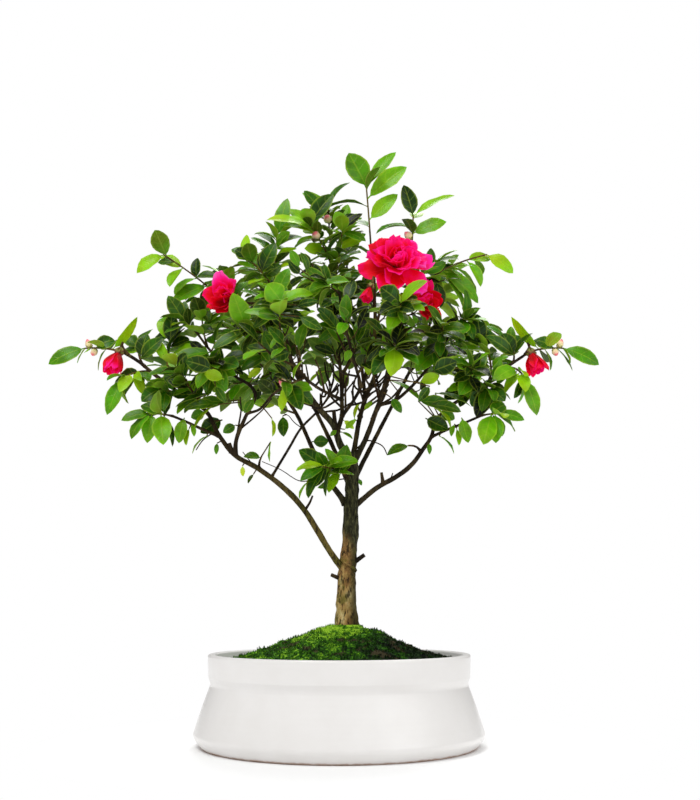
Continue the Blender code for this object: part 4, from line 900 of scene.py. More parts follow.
SIDE_SHOOTS = (  # name, limb, share along the limb, tip, number of leaves
    ("far_left", "low_left", 1, (-266, -2, 397), 6),
    ("left_upright", "low_left", 0.9, (-212, 8, 403), 6),
    ("left_drooping", "low_left", 0.87, (-221, -24, 360), 7),
    ("left_shoulder", "low_left", 0.78, (-176, 2, 413), 7),
    ("left_under", "low_left", 0.74, (-183, -22, 350), 7),
    ("left_hem", "left_low_fork", 1, (-189, -36, 322), 8),
    ("left_flank", "low_left", 0.64, (-163, -46, 368), 8),
)
SHOOTS = (
    *SIDE_SHOOTS,
    ("left_crest", "left_rise", 1, (-165, -5, 427), 9),
    ("left_bloom_leaves", "left_rise", 0.86, (-144, -6, 444), 8),
    ("left_inner", "left_rise", 0.66, (-126, -52, 367), 9),
    ("left_bright", "left_rise_fork", 1, (-47, -66, 346), 5),
    ("limb_tuft", "low_left", 0.4, (-78, -24, 281), 1),
    ("left_outlier", "left_mid", 1, (-192, 22, 507), 9),
    ("left_back_crest", "left_mid", 0.84, (-131, 50, 493), 9),
    ("left_back_low", "left_mid", 0.6, (-122, 86, 375), 8),
    ("crossing_tip", "thin_cross", 1, (-16, 80, 418), 9),
    ("crown_left", "centre_left", 0.92, (-98, -22, 491), 9),
    ("crown_left_high", "centre_left", 1, (-66, -12, 516), 8),
    ("crown_left_front", "centre_left", 0.78, (-67, -56, 438), 9),
    ("crown_left_low", "centre_left", 0.62, (-95, -60, 402), 8),
    ("crown_mid_high", "centre_up", 1, (-33, -6, 531), 7),
    ("crown_mid_bud", "centre_up", 0.88, (-13, 8, 554), 6),
    ("crown_mid_left", "centre_up", 0.74, (3, -2, 527), 8),
    ("crown_mid_front", "centre_up", 0.62, (4, -34, 455), 9),
    ("top", "leader", 1, (28, -4, 574), 7),
    ("top_right", "right_up", 1, (78, -2, 542), 7),
    ("crown_right", "right_up", 0.8, (103, 10, 495), 9),
    ("right_outlier", "right_up", 0.68, (159, 22, 507), 9),
    ("right_crest", "right_fork", 1, (132, -5, 427), 9),
    ("right_inner", "right_fork", 0.66, (104, -36, 412), 9),
    *[(name.replace("left", "right"), limb.replace("left", "right"), share, mirrored(tip), count)
      for name, limb, share, tip, count in SIDE_SHOOTS],
    ("right_tuft", "low_right", 0.36, (69, -20, 292), 1),
    ("trunk_tuft", "trunk", 0.86, (-17, -34, 269), 7),
    ("front_left_tip", "front_left", 1, (-54, -114, 415), 8),
    ("front_mid_tip", "front_mid", 1, (-20, -98, 438), 8),
    ("front_right_tip", "front_right", 1, (58, -108, 416), 8),
    ("front_right_low", "front_right", 0.66, (54, -98, 376), 8),
    ("back_left_tip", "back_left", 1, (-100, 128, 527), 8),
    ("back_left_side", "back_left", 0.66, (-142, 108, 452), 8),
    ("back_mid_tip", "back_mid", 1, (4, 78, 560), 8),
    ("back_mid_low", "back_mid", 0.52, (20, 128, 432), 8),
    ("back_right_tip", "back_right", 1, (126, 124, 521), 8),
    ("back_right_side", "back_right", 0.66, (160, 102, 445), 8),
)
SHOOT_SIDES = 3
SHOOT_TIP_RADIUS = 0.0008
BARE_LEAST = 0.008  # bare branch between a limb and the first leaf
PATH_END = 0.985  # share of a limb or a shoot where what grows on from its end is rooted
GAP = 0.0003
BRANCH_RADIUS = 0.0015
BRANCH_STEP = 0.043
BRANCH_LEAVES = 0.45  # share of its span along which a branch runs on before it turns to its tip
BRANCH_TURNS = 20
PUSHES = (0.008, 0.016, 0.026)  # how far a branch's middle may be pushed aside to run clear
PUSH_WAYS = 8
SAME_PLACE = 0.00003


def corners_of(node):
    """A search tree of the corners of a solid."""
    mesh = frame["nodes"][node].data
    tree = kdtree.KDTree(len(mesh.vertices))
    for k, vertex in enumerate(mesh.vertices):
        tree.insert(vertex.co, k)
    tree.balance()
    return tree


def branch_path(limb, share, tip, bend):
    """A side branch from the limb's axis to the tip. It leaves along the limb and turns to the tip."""
    start = limb.at(min(share, PATH_END))
    span = tip - start
    leave = (limb.ahead(share) + span.normalized()).normalized()
    middle = start + leave * BRANCH_LEAVES * span.length + bend
    thick = min(BRANCH_RADIUS, 0.8 * limb.radius(share))
    turns = [k / BRANCH_TURNS for k in range(BRANCH_TURNS + 1)]
    line = [start.lerp(middle, t).lerp(middle.lerp(tip, t), t) for t in turns]
    return Path(line, [thick + (SHOOT_TIP_RADIUS - thick) * t for t in turns])


def bends():
    """Sideways pushes for a branch's middle, the straight one first."""
    yield Vector((0, 0, 0))
    for push in PUSHES:
        for k in range(PUSH_WAYS):
            angle = 2 * math.pi * k / PUSH_WAYS
            yield push * Vector((math.cos(angle), 0.8 * math.sin(angle), 0.6 * math.cos(2 * angle)))


def shoot_line(name, limb, share, tip, count, corners):
    """The curve of a shoot, the share of it that is bare, and its twig as the solid has it."""
    for bend in bends():
        path = branch_path(limb, share, tip, bend)
        leafy = min(SHOOT_LEAF_STEP * count, path.length - limb.radius(share) - BARE_LEAST)
        bare = 1 - leafy / path.length
        twig = path.part(bare + GAP / path.length, 1, BRANCH_STEP)
        _, foot = ring_points(twig.points[0], twig.ways[0], FIRST_SIDE, twig.radii[0], SHOOT_SIDES)
        if any(corners.find(point)[2] < SAME_PLACE for point in foot):
            return path, bare, twig
    raise ValueError("no line fits the solid of " + name)


corners, shoot_paths, twigs, bare_shares = {}, {}, {}, {}
for name, limb, share, tip, count in SHOOTS:
    corners[name] = corners_of("shoot_" + name)
    found = shoot_line(name, solid_limbs[limb], share, MM * Vector(tip), count, corners[name])
    shoot_paths[name], bare_shares[name], twigs[name] = found
print("shoots:", len(shoot_paths))

# %% [markdown]
# ## Where the leaves are
#
# A leaf sits on the twig at a share of its length, turned by the golden angle from the leaf before, with
# its upper side to the sky and outward. The solids tried each leaf in turn until it lay clear of the
# others, and a try is the right one if the solid has a corner at the leaf's tip. The leaves that show most
# were listed one by one, and are repeated from the same list.

# %% Leaves of the solids
# Ways that the upper side of a chosen leaf may face.
FRONT = (0, -0.95, 0.3)
RAISED = (0, -0.8, 0.6)
SKYWARD = (0, -0.45, 0.89)
LEVEL = (0, -0.28, 0.96)
TO_LEFT = (-0.45, -0.75, 0.5)
TO_RIGHT = (0.45, -0.75, 0.5)
LEFT = (-0.88, -0.35, 0.3)
RIGHT = (0.88, -0.35, 0.3)
HIGH = (0, -0.65, 0.76)
SHOWN_SHIFTS = (0, 5, -5, 10, -10, 16)  # ways nearer to the viewer until a leaf is free
# Share along the shoot, tip, width, facing, bend and, where it is chosen, how young the leaf looks.
SHOWN_LEAVES = {
    "top": ((0.98, (9, -8, 611), 27, FRONT, 0.2, 0.5), (0.99, (59, 0, 616), 15, RAISED, 0.4, 0.62),
        (0.72, (72, -11, 593), 21, FRONT, 0.45, 0.66), (0.23, (62, -7, 564), 18, FRONT, 0.35, 0.7),
        (0.54, (-16, 6, 552), 17, LEVEL, 1.1, 0.22)),
    "top_right": ((0.99, (69, -8, 575), 18, FRONT, 0.25, 0.2), (0.99, (123, -4, 564), 15, HIGH, 0.6, 0.74),
        (0.54, (113, -11, 531), 18, FRONT, 0.7, 0.58), (0.69, (38, -1, 522), 15, SKYWARD, 1, 0.45)),
    "left_outlier": ((0.99, (-220, 20, 486), 17, FRONT, 0.65, 0.8),
        (0.58, (-198, 40, 510), 15, FRONT, 0.45, 0.75), (0.58, (-184, 20, 470), 17, TO_LEFT, 0.4, 0.7),
        (0.31, (-132, 30, 482), 15, RAISED, 0.6, 0.25), (0.27, (-180, 29, 464), 16, SKYWARD, 0.9, 0.65),
        (0.04, (-182, 30, 454), 19, FRONT, 0.85, 0.55), (0.07, (-169, 23, 438), 15, TO_LEFT, 0.6, 0.5)),
    "far_left": ((0.99, (-301, -8, 378), 18, FRONT, 0.75, 0.5),
        (0.99, (-271, -10, 379), 9, LEFT, 0.35, 0.6), (0.62, (-236, 1, 407), 17, FRONT, 1.2, 0.3),
        (0.06, (-214, 2, 433), 12, RIGHT, 0.55, 0.85), (0.27, (-252, 3, 374), 12, LEFT, 0.7, 0.5)),
    "left_upright": ((0.87, (-227, 10, 412), 15, FRONT, 0.5, 0.35),
        (0.18, (-202, -1, 413), 18, FRONT, 0.4, 0.25), (0.04, (-184, -7, 407), 17, FRONT, 0.5, 0.3)),
    "left_drooping": ((0.99, (-232, -32, 321), 16, FRONT, 0.45, 0.56),
        (0.98, (-214, -30, 335), 12, LEFT, 0.5, 0.6), (0.54, (-220, -30, 343), 14, RAISED, 0.5, 0.8),
        (0.43, (-200, -20, 345), 12, TO_RIGHT, 0.6, 0.85), (0.19, (-206, -7, 354), 12, TO_RIGHT, 0.4, 0.35),
        (0.04, (-194, -7, 357), 13, TO_RIGHT, 0.5, 0.4)),
    "left_shoulder": ((0.76, (-177, -2, 434), 17, FRONT, 0.5, 0.2),
        (0.96, (-195, -2, 408), 15, RAISED, 0.8, 0.25), (0.66, (-156, -7, 405), 15, RAISED, 0.8, 0.2)),
    "left_under": ((0.91, (-200, -29, 336), 17, FRONT, 0.7, 0.3),
        (0.56, (-177, -32, 325), 14, RAISED, 0.5, 0.4)),
    "left_hem": ((0.99, (-217, -40, 315), 15, RAISED, 0.6, 0.48),
        (0.05, (-199, -31, 332), 19, RAISED, 0.6, 0.35), (0.87, (-188, -44, 291), 16, FRONT, 0.3, 0.62),
        (0.2, (-172, -47, 288), 20, FRONT, 0.4, 0.66), (0.04, (-166, -33, 289), 13, RIGHT, 0.4, 0.25)),
    "limb_tuft": ((0.6, (-96, -27, 279), 11, RAISED, 0.7),),
    "right_tuft": ((0.84, (48, -26, 281), 12, RAISED, 0.9),),
    "trunk_tuft": ((0.66, (19, -31, 275), 16, RAISED, 1, 0.56),
        (0.97, (-40, -37, 286), 17, FRONT, 0.5, 0.28), (0.99, (-45, -42, 267), 14, SKYWARD, 0.6, 0.32),
        (0.39, (10, -20, 263), 14, SKYWARD, 0.6, 0.4), (0.88, (-30, -39, 237), 16, TO_LEFT, 0.6, 0.28),
        (0.66, (-13, -35, 239), 11, LEFT, 0.4, 0.26)),
    "left_bright": ((0.04, (-55, -65, 319), 13, TO_LEFT, 0.4, 0.85),
        (0.55, (-36, -70, 319), 15, TO_RIGHT, 0.5, 0.35)),
    "crown_left_high": ((0.98, (-57, -8, 560), 17, FRONT, 0.3, 0.5),
        (0.88, (-90, -20, 515), 10, SKYWARD, 1.2, 0.55), (0.78, (-52, -19, 518), 13, TO_RIGHT, 0.5, 0.6)),
    "crown_mid_high": ((0.99, (-8, -10, 564), 20, FRONT, 0.4, 0.28),
        (0.89, (-77, -12, 529), 19, RAISED, 0.7, 0.8), (0.86, (-57, 3, 552), 15, RAISED, 0.6, 0.7),
        (0.71, (-61, -13, 526), 16, RAISED, 0.9, 0.78)),
    "crown_mid_bud": ((0.97, (-41, 12, 574), 17, RAISED, 0.6, 0.55),
        (0.99, (10, 16, 587), 14, LEVEL, 0.8, 0.3)),
    "crown_mid_left": ((0.99, (-5, -8, 545), 15, FRONT, 0.3), (0.99, (24, -4, 544), 13, RAISED, 0.5),
        (0.94, (27, -9, 511), 15, RAISED, 0.6)),
    "crown_left": ((0.93, (-109, -23, 497), 15, FRONT, 0.5, 0.2),
        (0.47, (-67, -22, 505), 19, FRONT, 0.5, 0.28), (0.33, (-61, -25, 482), 16, TO_RIGHT, 0.6, 0.3)),
    "front_left_tip": ((0.99, (-68, -120, 431), 24, FRONT, 0.4, 0.62),
        (0.86, (-73, -109, 419), 15, SKYWARD, 0.8, 0.55), (0.56, (-26, -116, 405), 15, SKYWARD, 0.7, 0.25)),
    "crown_left_low": ((0.96, (-114, -64, 412), 15, SKYWARD, 0.5, 0.3),
        (0.94, (-103, -60, 436), 21, FRONT, 0.4, 0.64), (0.82, (-57, -61, 426), 16, RAISED, 0.4, 0.3),
        (0.88, (-124, -65, 381), 15, RAISED, 0.6, 0.3), (0.47, (-69, -49, 372), 15, RAISED, 0.4, 0.45)),
    "front_mid_tip": ((0.86, (-40, -100, 433), 15, SKYWARD, 1.1), (0.59, (-37, -104, 418), 16, RAISED, 0.5),
        (0.74, (10, -102, 438), 15, RAISED, 0.8), (0.95, (-28, -100, 459), 15, FRONT, 0.4),
        (0.04, (18, -101, 424), 14, LEVEL, 0.6)),
    "front_right_tip": ((0.99, (39, -112, 430), 20, FRONT, 0.4, 0.2),
        (0.04, (26, -104, 408), 20, SKYWARD, 0.5, 0.5), (0.13, (85, -103, 415), 16, RAISED, 0.6, 0.2)),
    "front_right_low": ((0.81, (31, -98, 377), 14, SKYWARD, 0.6), (0.61, (76, -94, 367), 14, SKYWARD, 0.7),
        (0.95, (60, -95, 399), 16, FRONT, 0.4)),
    "left_bloom_leaves": ((0.94, (-136, -14, 422), 12, FRONT, 0.4),),
    "crown_left_front": ((0.75, (-52, -51, 469), 16, FRONT, 0.4), (0.51, (-94, -46, 424), 17, RAISED, 0.6)),
    "left_inner": ((0.04, (-98, -35, 361), 16, RAISED, 0.6), (0.04, (-89, -31, 384), 17, RAISED, 0.5)),
}
PAIRED = ("far_left", "left_upright", "left_drooping", "left_shoulder", "left_under", "left_hem",
          "left_outlier")

CROWN_MIDDLE = Vector((0.0, 0.02, 0.36))
LEAF_LENGTH = 0.034
LEAF_SLENDER = 0.54
FIRST_LEAF, LAST_LEAF = 0.08, 0.92  # shares of a shoot between which its side leaves stand
OPEN_AT_FOOT, OPEN_AT_TIP, OPEN_END_LEAF = 62, 32, 15  # degrees between a leaf and its shoot
OPEN_VARIES = 10
TURN_VARIES = 0.25
LEAF_SAG = 0.1
LEAF_LENGTH_VARIES = (0.86, 1.08)
LEAF_WIDTH_VARIES = (0.92, 1.08)
LEAF_BEND_VARIES = (0.35, 0.95)
END_LEAF_SIZE = 0.88
FACE_SKY, FACE_VIEWER, FACE_OUT, FACE_AHEAD = 0.6, 0.45, 0.35, 0.1  # where upper sides turn to
AT_THE_BACK = 0.35  # outward direction past which leaves turn away from the viewer
FACE_AWAY = -0.1
GOLDEN_TURN = math.radians(137.5)
LEAF_TRIES = 10
LEAF_SHRINK = 0.03  # how much smaller a leaf is at each new try
LEAF_SEED = 100


class Blade:
    """A leaf or a petal: root, way ahead, upper side, length, width and bend away from the upper side."""

    def __init__(self, root, ahead, up, length, width, bend):
        self.root, self.ahead = root, ahead.normalized()
        self.up = (up - up.project(self.ahead)).normalized()
        self.length, self.width, self.bend = length, width, bend
        self.side = self.ahead.cross(self.up)
        self.young = None  # how young a leaf looks, where that is chosen

    def mid(self, share):
        forth = math.sin(self.bend * share) / self.bend
        down = (1 - math.cos(self.bend * share)) / self.bend
        return self.root + self.length * (forth * self.ahead - down * self.up)

    def normal(self, share):
        return self.up * math.cos(self.bend * share) + self.ahead * math.sin(self.bend * share)


def leaf_on(path, share, around, rng, tries):
    """A leaf at a share of a shoot, turned round it, its upper side turned to the sky and outward."""
    ahead, at_end = path.ahead(share), share == PATH_END
    around += rng.uniform(-TURN_VARIES, TURN_VARIES) * (1 + tries)
    out = Quaternion(ahead, around) @ ahead.orthogonal().normalized()
    opened = OPEN_END_LEAF if at_end else OPEN_AT_FOOT + (OPEN_AT_TIP - OPEN_AT_FOOT) * share
    opened = math.radians(opened + rng.uniform(-OPEN_VARIES, OPEN_VARIES))
    way = math.cos(opened) * ahead + math.sin(opened) * out - UP * LEAF_SAG
    outward = (path.at(share) - CROWN_MIDDLE).normalized()
    forward = FACE_VIEWER if outward.y < AT_THE_BACK else FACE_AWAY
    up = UP * FACE_SKY + VIEWER * forward + outward * FACE_OUT + ahead * FACE_AHEAD
    length = LEAF_LENGTH * rng.uniform(*LEAF_LENGTH_VARIES) * (1 - LEAF_SHRINK * tries)
    length *= END_LEAF_SIZE if at_end else 1
    width = length * LEAF_SLENDER * rng.uniform(*LEAF_WIDTH_VARIES)
    return Blade(path.at(share), way, up, length, width, rng.uniform(*LEAF_BEND_VARIES))


def leaf_to(root, tip, width, face, bend):
    """A leaf from its root to a chosen tip."""
    chord, face = tip - root, Vector(face)
    ahead = chord.normalized()
    up = (face - face.project(ahead)).normalized()
    half = bend / 2
    start = math.cos(half) * ahead + math.sin(half) * up
    above = math.cos(half) * up - math.sin(half) * ahead
    return Blade(root, start, above, chord.length * half / math.sin(half), width, bend)


def mirrored_pairs(table):
    """The chosen leaves by shoot, with those of each pair's other side mirrored."""
    chosen = dict(table)
    for shoot in PAIRED:
        chosen[shoot.replace("left", "right")] = [
            (share, mirrored(tip), width, (-face[0], *face[1:]), *rest)
            for share, tip, width, face, *rest in table[shoot]]
    return chosen


def in_solid(leaf, shoot):
    """Whether the solid of the shoot has a corner at the leaf's tip."""
    return corners[shoot].find(leaf.mid(1.0))[2] < SAME_PLACE


def solid_leaves():
    """The leaves of each shoot's solid."""
    chosen = mirrored_pairs(SHOWN_LEAVES)
    leaves = {name: [] for name in twigs}
    for name, group in chosen.items():
        for share, tip, width, face, bend, *young in group:
            for shift in SHOWN_SHIFTS:
                end = MM * (Vector(tip) + VIEWER * shift)
                leaf = leaf_to(twigs[name].at(share), end, MM * width, face, bend)
                if in_solid(leaf, name):
                    leaf.young = young[0] if young else None
                    leaves[name].append(leaf)
                    break
    for number, (name, limb, where, tip, count) in enumerate(SHOOTS):
        rng = random.Random(LEAF_SEED + number)
        around = rng.uniform(0, 2 * math.pi)
        free = count - len(chosen.get(name, ()))
        for k in range(free):
            share = FIRST_LEAF + (LAST_LEAF - FIRST_LEAF) * k / max(1, free - 1)
            if k == free - 1 and name not in chosen:
                share = PATH_END
            around += GOLDEN_TURN
            for tries in range(LEAF_TRIES):
                leaf = leaf_on(twigs[name], share, around, rng, tries)
                if in_solid(leaf, name):
                    leaves[name].append(leaf)
                    break
    return leaves


leaves = solid_leaves()
print("leaves in the solids:", sum(len(group) for group in leaves.values()))

# %% [markdown]
# ## A leaf
#
# A camellia leaf has a short stalk and a leathery blade with a sunken midrib, a fine saw edge and a pointed
# tip that curves down. The blade is folded along its midrib, and its margins roll back. One flat grid is
# made once, thickened and drawn to a point. It is then laid along each leaf's own bent middle line, so that
# no two leaves are alike and every leaf is one closed skin.

# %% One blade, flat
LEAF_ROWS = (0.0, 0.09, 0.16, 0.3, 0.46, 0.62, 0.78, 0.91, 1.0)
LEAF_COLUMNS = (0.0, 0.52, 1.0)
TOP, UNDER, WOOD = 0, 1, 2  # the finishes of a leafy piece


def flat_blade(rows, columns, pointed):
    """A closed flat blade. Along it x runs from 0 to 1, across it y from -1 to 1, and z is 1 or 0."""
    bm = bmesh.new()
    half = len(columns) - 1
    bmesh.ops.create_grid(bm, x_segments=len(rows) - 1, y_segments=2 * half, size=0.5)
    uv = bm.loops.layers.uv.new("UVMap")
    for vertex in bm.verts:
        row = round((vertex.co.x + 0.5) * (len(rows) - 1))
        column = round(vertex.co.y * 2 * half)
        vertex.co = (rows[row], math.copysign(columns[abs(column)], column), 1.0)
    for face in bm.faces:
        for loop in face.loops:
            loop[uv].uv = (loop.vert.co.x, 0.5 + loop.vert.co.y / 2)
    bmesh.ops.recalc_face_normals(bm, faces=bm.faces)
    if bm.faces[:][0].normal.z < 0:
        bmesh.ops.reverse_faces(bm, faces=bm.faces)
    bmesh.ops.solidify(bm, geom=bm.faces[:], thickness=1.0)
    low = min(vertex.co.z for vertex in bm.verts)
    for vertex in bm.verts:
        vertex.co.z = 1.0 if vertex.co.z > low + 0.5 else 0.0
    for face in bm.faces:
        face.material_index = TOP if all(vertex.co.z > 0.5 for vertex in face.verts) else UNDER
    if pointed:
        tip = [vertex for vertex in bm.verts if vertex.co.x > 0.999]
        bmesh.ops.pointmerge(bm, verts=tip, merge_co=(1.0, 0.0, 0.5))
    return mesh_of(bm, "flat_blade")


leaf_shape = flat_blade(LEAF_ROWS, LEAF_COLUMNS, True)
print("faces of a leaf:", len(leaf_shape.polygons))

# %% Lay a blade along its leaf
STALK_END = 0.09
STALK_WIDE = 0.075
STALK_THICK = 0.0013
BLADE_THICK = 0.00038
RIB_BELOW = 0.0005
SAW_DEPTH = 0.008


class Habit:
    """How one leaf differs from the next: its outline, fold, roll, waves and twist."""

    def __init__(self, rng):
        self.outline = rng.uniform(0.8, 0.98)
        self.fold = rng.uniform(0.3, 0.58)
        self.roll = rng.uniform(0.12, 0.3)
        self.wave = rng.uniform(0.02, 0.13)
        self.phase = rng.uniform(0, 2 * math.pi)
        self.twist = rng.uniform(-0.38, 0.38)
        self.sickle = rng.uniform(-0.05, 0.05)


def outline_at(share, habit):
    """Half width of a leaf as a share of its widest."""
    if share <= STALK_END:
        return STALK_WIDE
    t = (share - STALK_END) / (1 - STALK_END)
    return max(STALK_WIDE * (1 - t), math.sin(math.pi * t ** habit.outline) ** 0.74)


def lay_blade(bm, leaf, habit, tone, root_shift):
    """Add one leaf to the bmesh, in its own form."""
    layer_of_tone = tone_layer(bm)
    half_width = leaf.width / 2
    stations = {}
    for row, share in enumerate(LEAF_ROWS):
        normal, middle = leaf.normal(share), leaf.mid(share)
        ahead = leaf.side.cross(normal).normalized()
        turned = Quaternion(ahead, habit.twist * (share - 0.3))
        middle += leaf.side * leaf.length * habit.sickle * share * share
        middle += root_shift * (1 - share) ** 3
        half = half_width * outline_at(share, habit)
        saw = 1 + SAW_DEPTH * (1 if row % 2 else -1)
        wave = habit.wave * math.sin(2 * math.pi * 1.9 * share + habit.phase)
        stations[round(share, 4)] = (middle, turned @ leaf.side, turned @ normal, half, saw, wave)
    for vertex in copy_into(bm, leaf_shape):
        share, across, layer = vertex.co
        middle, side, normal, half, saw, wave = stations[round(share, 4)]
        reach = abs(across)
        out = half * across * (saw if reach > 0.99 else 1)
        rise = half * (habit.fold * reach - habit.roll * across * across + wave * across * reach)
        if share <= STALK_END:
            thick, rise = STALK_THICK * math.sqrt(max(0.0, 1 - 0.85 * across * across)), 0.0
        else:
            thick = BLADE_THICK * (1 - 0.5 * reach) + RIB_BELOW * (1 - share) * max(0.0, 1 - 2 * reach)
        sunk = (0.5 if share <= STALK_END else 0.3) * thick
        vertex.co = middle + side * out + normal * (rise + sunk - (1 - layer) * thick)
        vertex[layer_of_tone] = tone


# %% [markdown]
# ## Leaf finishes
#
# The upper side is glossy, with a pale midrib and faint side veins that curve towards the tip, and a paler
# margin that is a painted rim light. It is deep green inside the crown as painted shade, and yellow-green
# where it is young and out on top, partly as painted light. The underside is paler and matt. Light shines
# through the thin blade, so a Translucent shader is mixed in. The veins follow the leaf's own UV map: u runs
# from stalk to tip, and v across.

# %% Leaf materials
VEINS = 8.5
VEIN_SLANT = 1.35
SHINES_THROUGH = 0.3
OLIVE_CAST = (1.14, 0.96, 0.8, 1)  # the two casts that the greens vary between
EMERALD_CAST = (0.7, 1.04, 0.85, 1)
VEIN_AND_RIM_LIGHT_WEIGHTS = (("Side veins", 0.13), ("Edge", 0.42), ("Midrib", 0.24))  # how much paler than the blade; the paler margin is a painted rim light


def vein_group():
    """Midrib, side veins and margin from the UV map, as masks."""
    group, takes, gives = start_group("veins", {"Count": "Float", "Slant": "Float"},
                                      ("Midrib", "Side veins", "Edge"))
    place = split(group, add(group, "UVMap").outputs["UV"])
    away = maths(group, "ABSOLUTE", maths(group, "SUBTRACT", place["Y"], 0.5))
    join(group, fit(group, away, 0.055, 0.012), gives["Midrib"])
    join(group, fit(group, away, 0.38, 0.5), gives["Edge"])
    along = maths(group, "MULTIPLY", place["X"], takes["Count"])
    lean = maths(group, "MULTIPLY", maths(group, "MULTIPLY", away, takes["Slant"]), 2.0)
    saw = maths(group, "PINGPONG", maths(group, "SUBTRACT", along, lean), 1.0)
    join(group, fit(group, saw, 0.16, 0.02), gives["Side veins"])
    return group


VEIN_GROUP = vein_group()


def shine_through(tree, shader, shade):
    """The shader mixed with light that shines through the blade."""
    through = add(tree, "BsdfTranslucent", {"Color": shade})
    show_mixed(tree, SHINES_THROUGH, shader.outputs["BSDF"], through.outputs["BSDF"])


def leaf_material(name, roughness, vein_depth, pale_rib_and_rim_light, *greens):
    """One side of the leaves. greens are the colours from the darkest tone to the lightest."""
    made, tree, shader = start_material(name, roughness, {"Specular IOR Level": 0.36})
    veins = add(tree, "Group", {"Count": VEINS, "Slant": VEIN_SLANT}, node_tree=VEIN_GROUP).outputs
    drift = maths(tree, "MULTIPLY_ADD", mottling(tree, 0.014, 1.3), 0.36, -0.18)
    # The stored tone is darker inside the crown as painted shade, and lighter at the tips and on top, partly
    # as painted light.
    aged = maths(tree, "ADD", stored(tree, "tone"), drift, clamp=True)
    cast = blend(tree, mottling(tree, 0.028, 3.2), OLIVE_CAST, EMERALD_CAST)
    shade = blend(tree, 1.0, ramp(tree, aged, *greens), cast, "MULTIPLY")
    for mask, weight in VEIN_AND_RIM_LIGHT_WEIGHTS:
        shade = blend(tree, maths(tree, "MULTIPLY", veins[mask], weight), shade, pale_rib_and_rim_light)
    join(tree, shade, shader.inputs["Base Color"])
    bump(tree, maths(tree, "MAXIMUM", veins["Midrib"], veins["Side veins"]), shader, vein_depth, -0.0006)
    shine_through(tree, shader, shade)
    return made


leaf_top = leaf_material(
    "leaf_top", 0.34, 0.3, colour(202, 226, 62), (0.0, (7, 18, 3)), (0.22, (40, 76, 5)),
    (0.45, (84, 143, 7)), (0.65, (126, 191, 9)), (0.85, (188, 225, 20)), (1.0, (216, 238, 62)))
leaf_under = leaf_material(
    "leaf_under", 0.6, 0.25, colour(206, 224, 96), (0.0, (62, 84, 14)), (0.35, (112, 150, 24)),
    (0.7, (170, 204, 40)), (1.0, (222, 236, 92)))

# %% [markdown]
# ## Leaves between the leaves
#
# The solids hold only as many leaves as a simple model should. On the living tree smaller leaves stand
# between the others, and short sprigs carry three to five. Each new leaf is tested as a thin wedge against
# all the wood and leaves, and is kept only where it is free.

# %% Test a leaf for free space
LEAF_STATIONS = ((0.31, 0.9), (0.68, 0.86))
WEDGE_THICK = 0.0008
WEDGE_FOLD = 0.14
TEST_SIDES = 4
TEST_STEP = 0.01
LEAF_NEAR = 0.06
LOOK_AT = (0.0, 0.35, 0.7, 1.0)  # shares of a leaf that are looked at
KEEP_IN_SIGHT = (  # blooms and a bud: middle and radius
    ((58, -58, 470), 36), ((-118, -36, 443), 15), ((-232, -16, 378), 12),
    ((202, -14, 378), 12), ((-64, -66, 344), 9))
SIGHT_MARGIN = 0.002  # bare room that is kept round a bloom
SIGHT_DEPTH = 0.012  # how far behind a bloom's middle a leaf hides nothing
STEMS_FROM, STEMS_TO = (-0.05, 0.3), (0.08, 0.383)  # the window under the crown, across and up
RAGGED = 0.03  # how unevenly the crown hangs into the window


def seen(point):
    """The place in the plane of the trunk that a point covers for the viewer."""
    eye = Vector(CAMERA_PLACE)
    way = point - eye
    return eye - way * (eye.y / way.y)


def search_tree(bm):
    """A search tree of a bmesh, which isn't needed afterwards."""
    bm.normal_update()
    tree = BVHTree.FromBMesh(bm)
    bm.free()
    return tree


def wedge(leaf, whole=True):
    """A search tree of a thin closed wedge in the place of a leaf, with or without its stalk."""
    rings = []
    for share, wide in LEAF_STATIONS:
        half = wide * leaf.width / 2
        middle, normal = leaf.mid(share), leaf.normal(share)
        lifted = middle + normal * WEDGE_FOLD * half
        rings.append([lifted + leaf.side * half, lifted - leaf.side * half, middle - normal * WEDGE_THICK])
    bm = bmesh.new()
    made = extrude_rings(bm, rings)
    for ring, point in [(made[-1], leaf.mid(1.0))] + ([(made[0], leaf.root)] if whole else []):
        cap = next(face for face in bm.faces if set(face.verts) == set(ring))
        bmesh.ops.poke(bm, faces=[cap])["verts"][0].co = point
    return search_tree(bm)


def tree_of_tube(path):
    """A search tree of a plain tube round a path."""
    bm = bmesh.new()
    rings, side = [], FIRST_SIDE
    for centre, radius, reach in zip(path.points, path.radii, path.reach):
        side, ring = ring_points(centre, path.ahead(reach / path.length), side, radius, TEST_SIDES)
        rings.append(ring)
    extrude_rings(bm, rings)
    return search_tree(bm)


def tree_of_node(node):
    bm = bmesh.new()
    bm.from_mesh(frame["nodes"][node].data)
    return search_tree(bm)


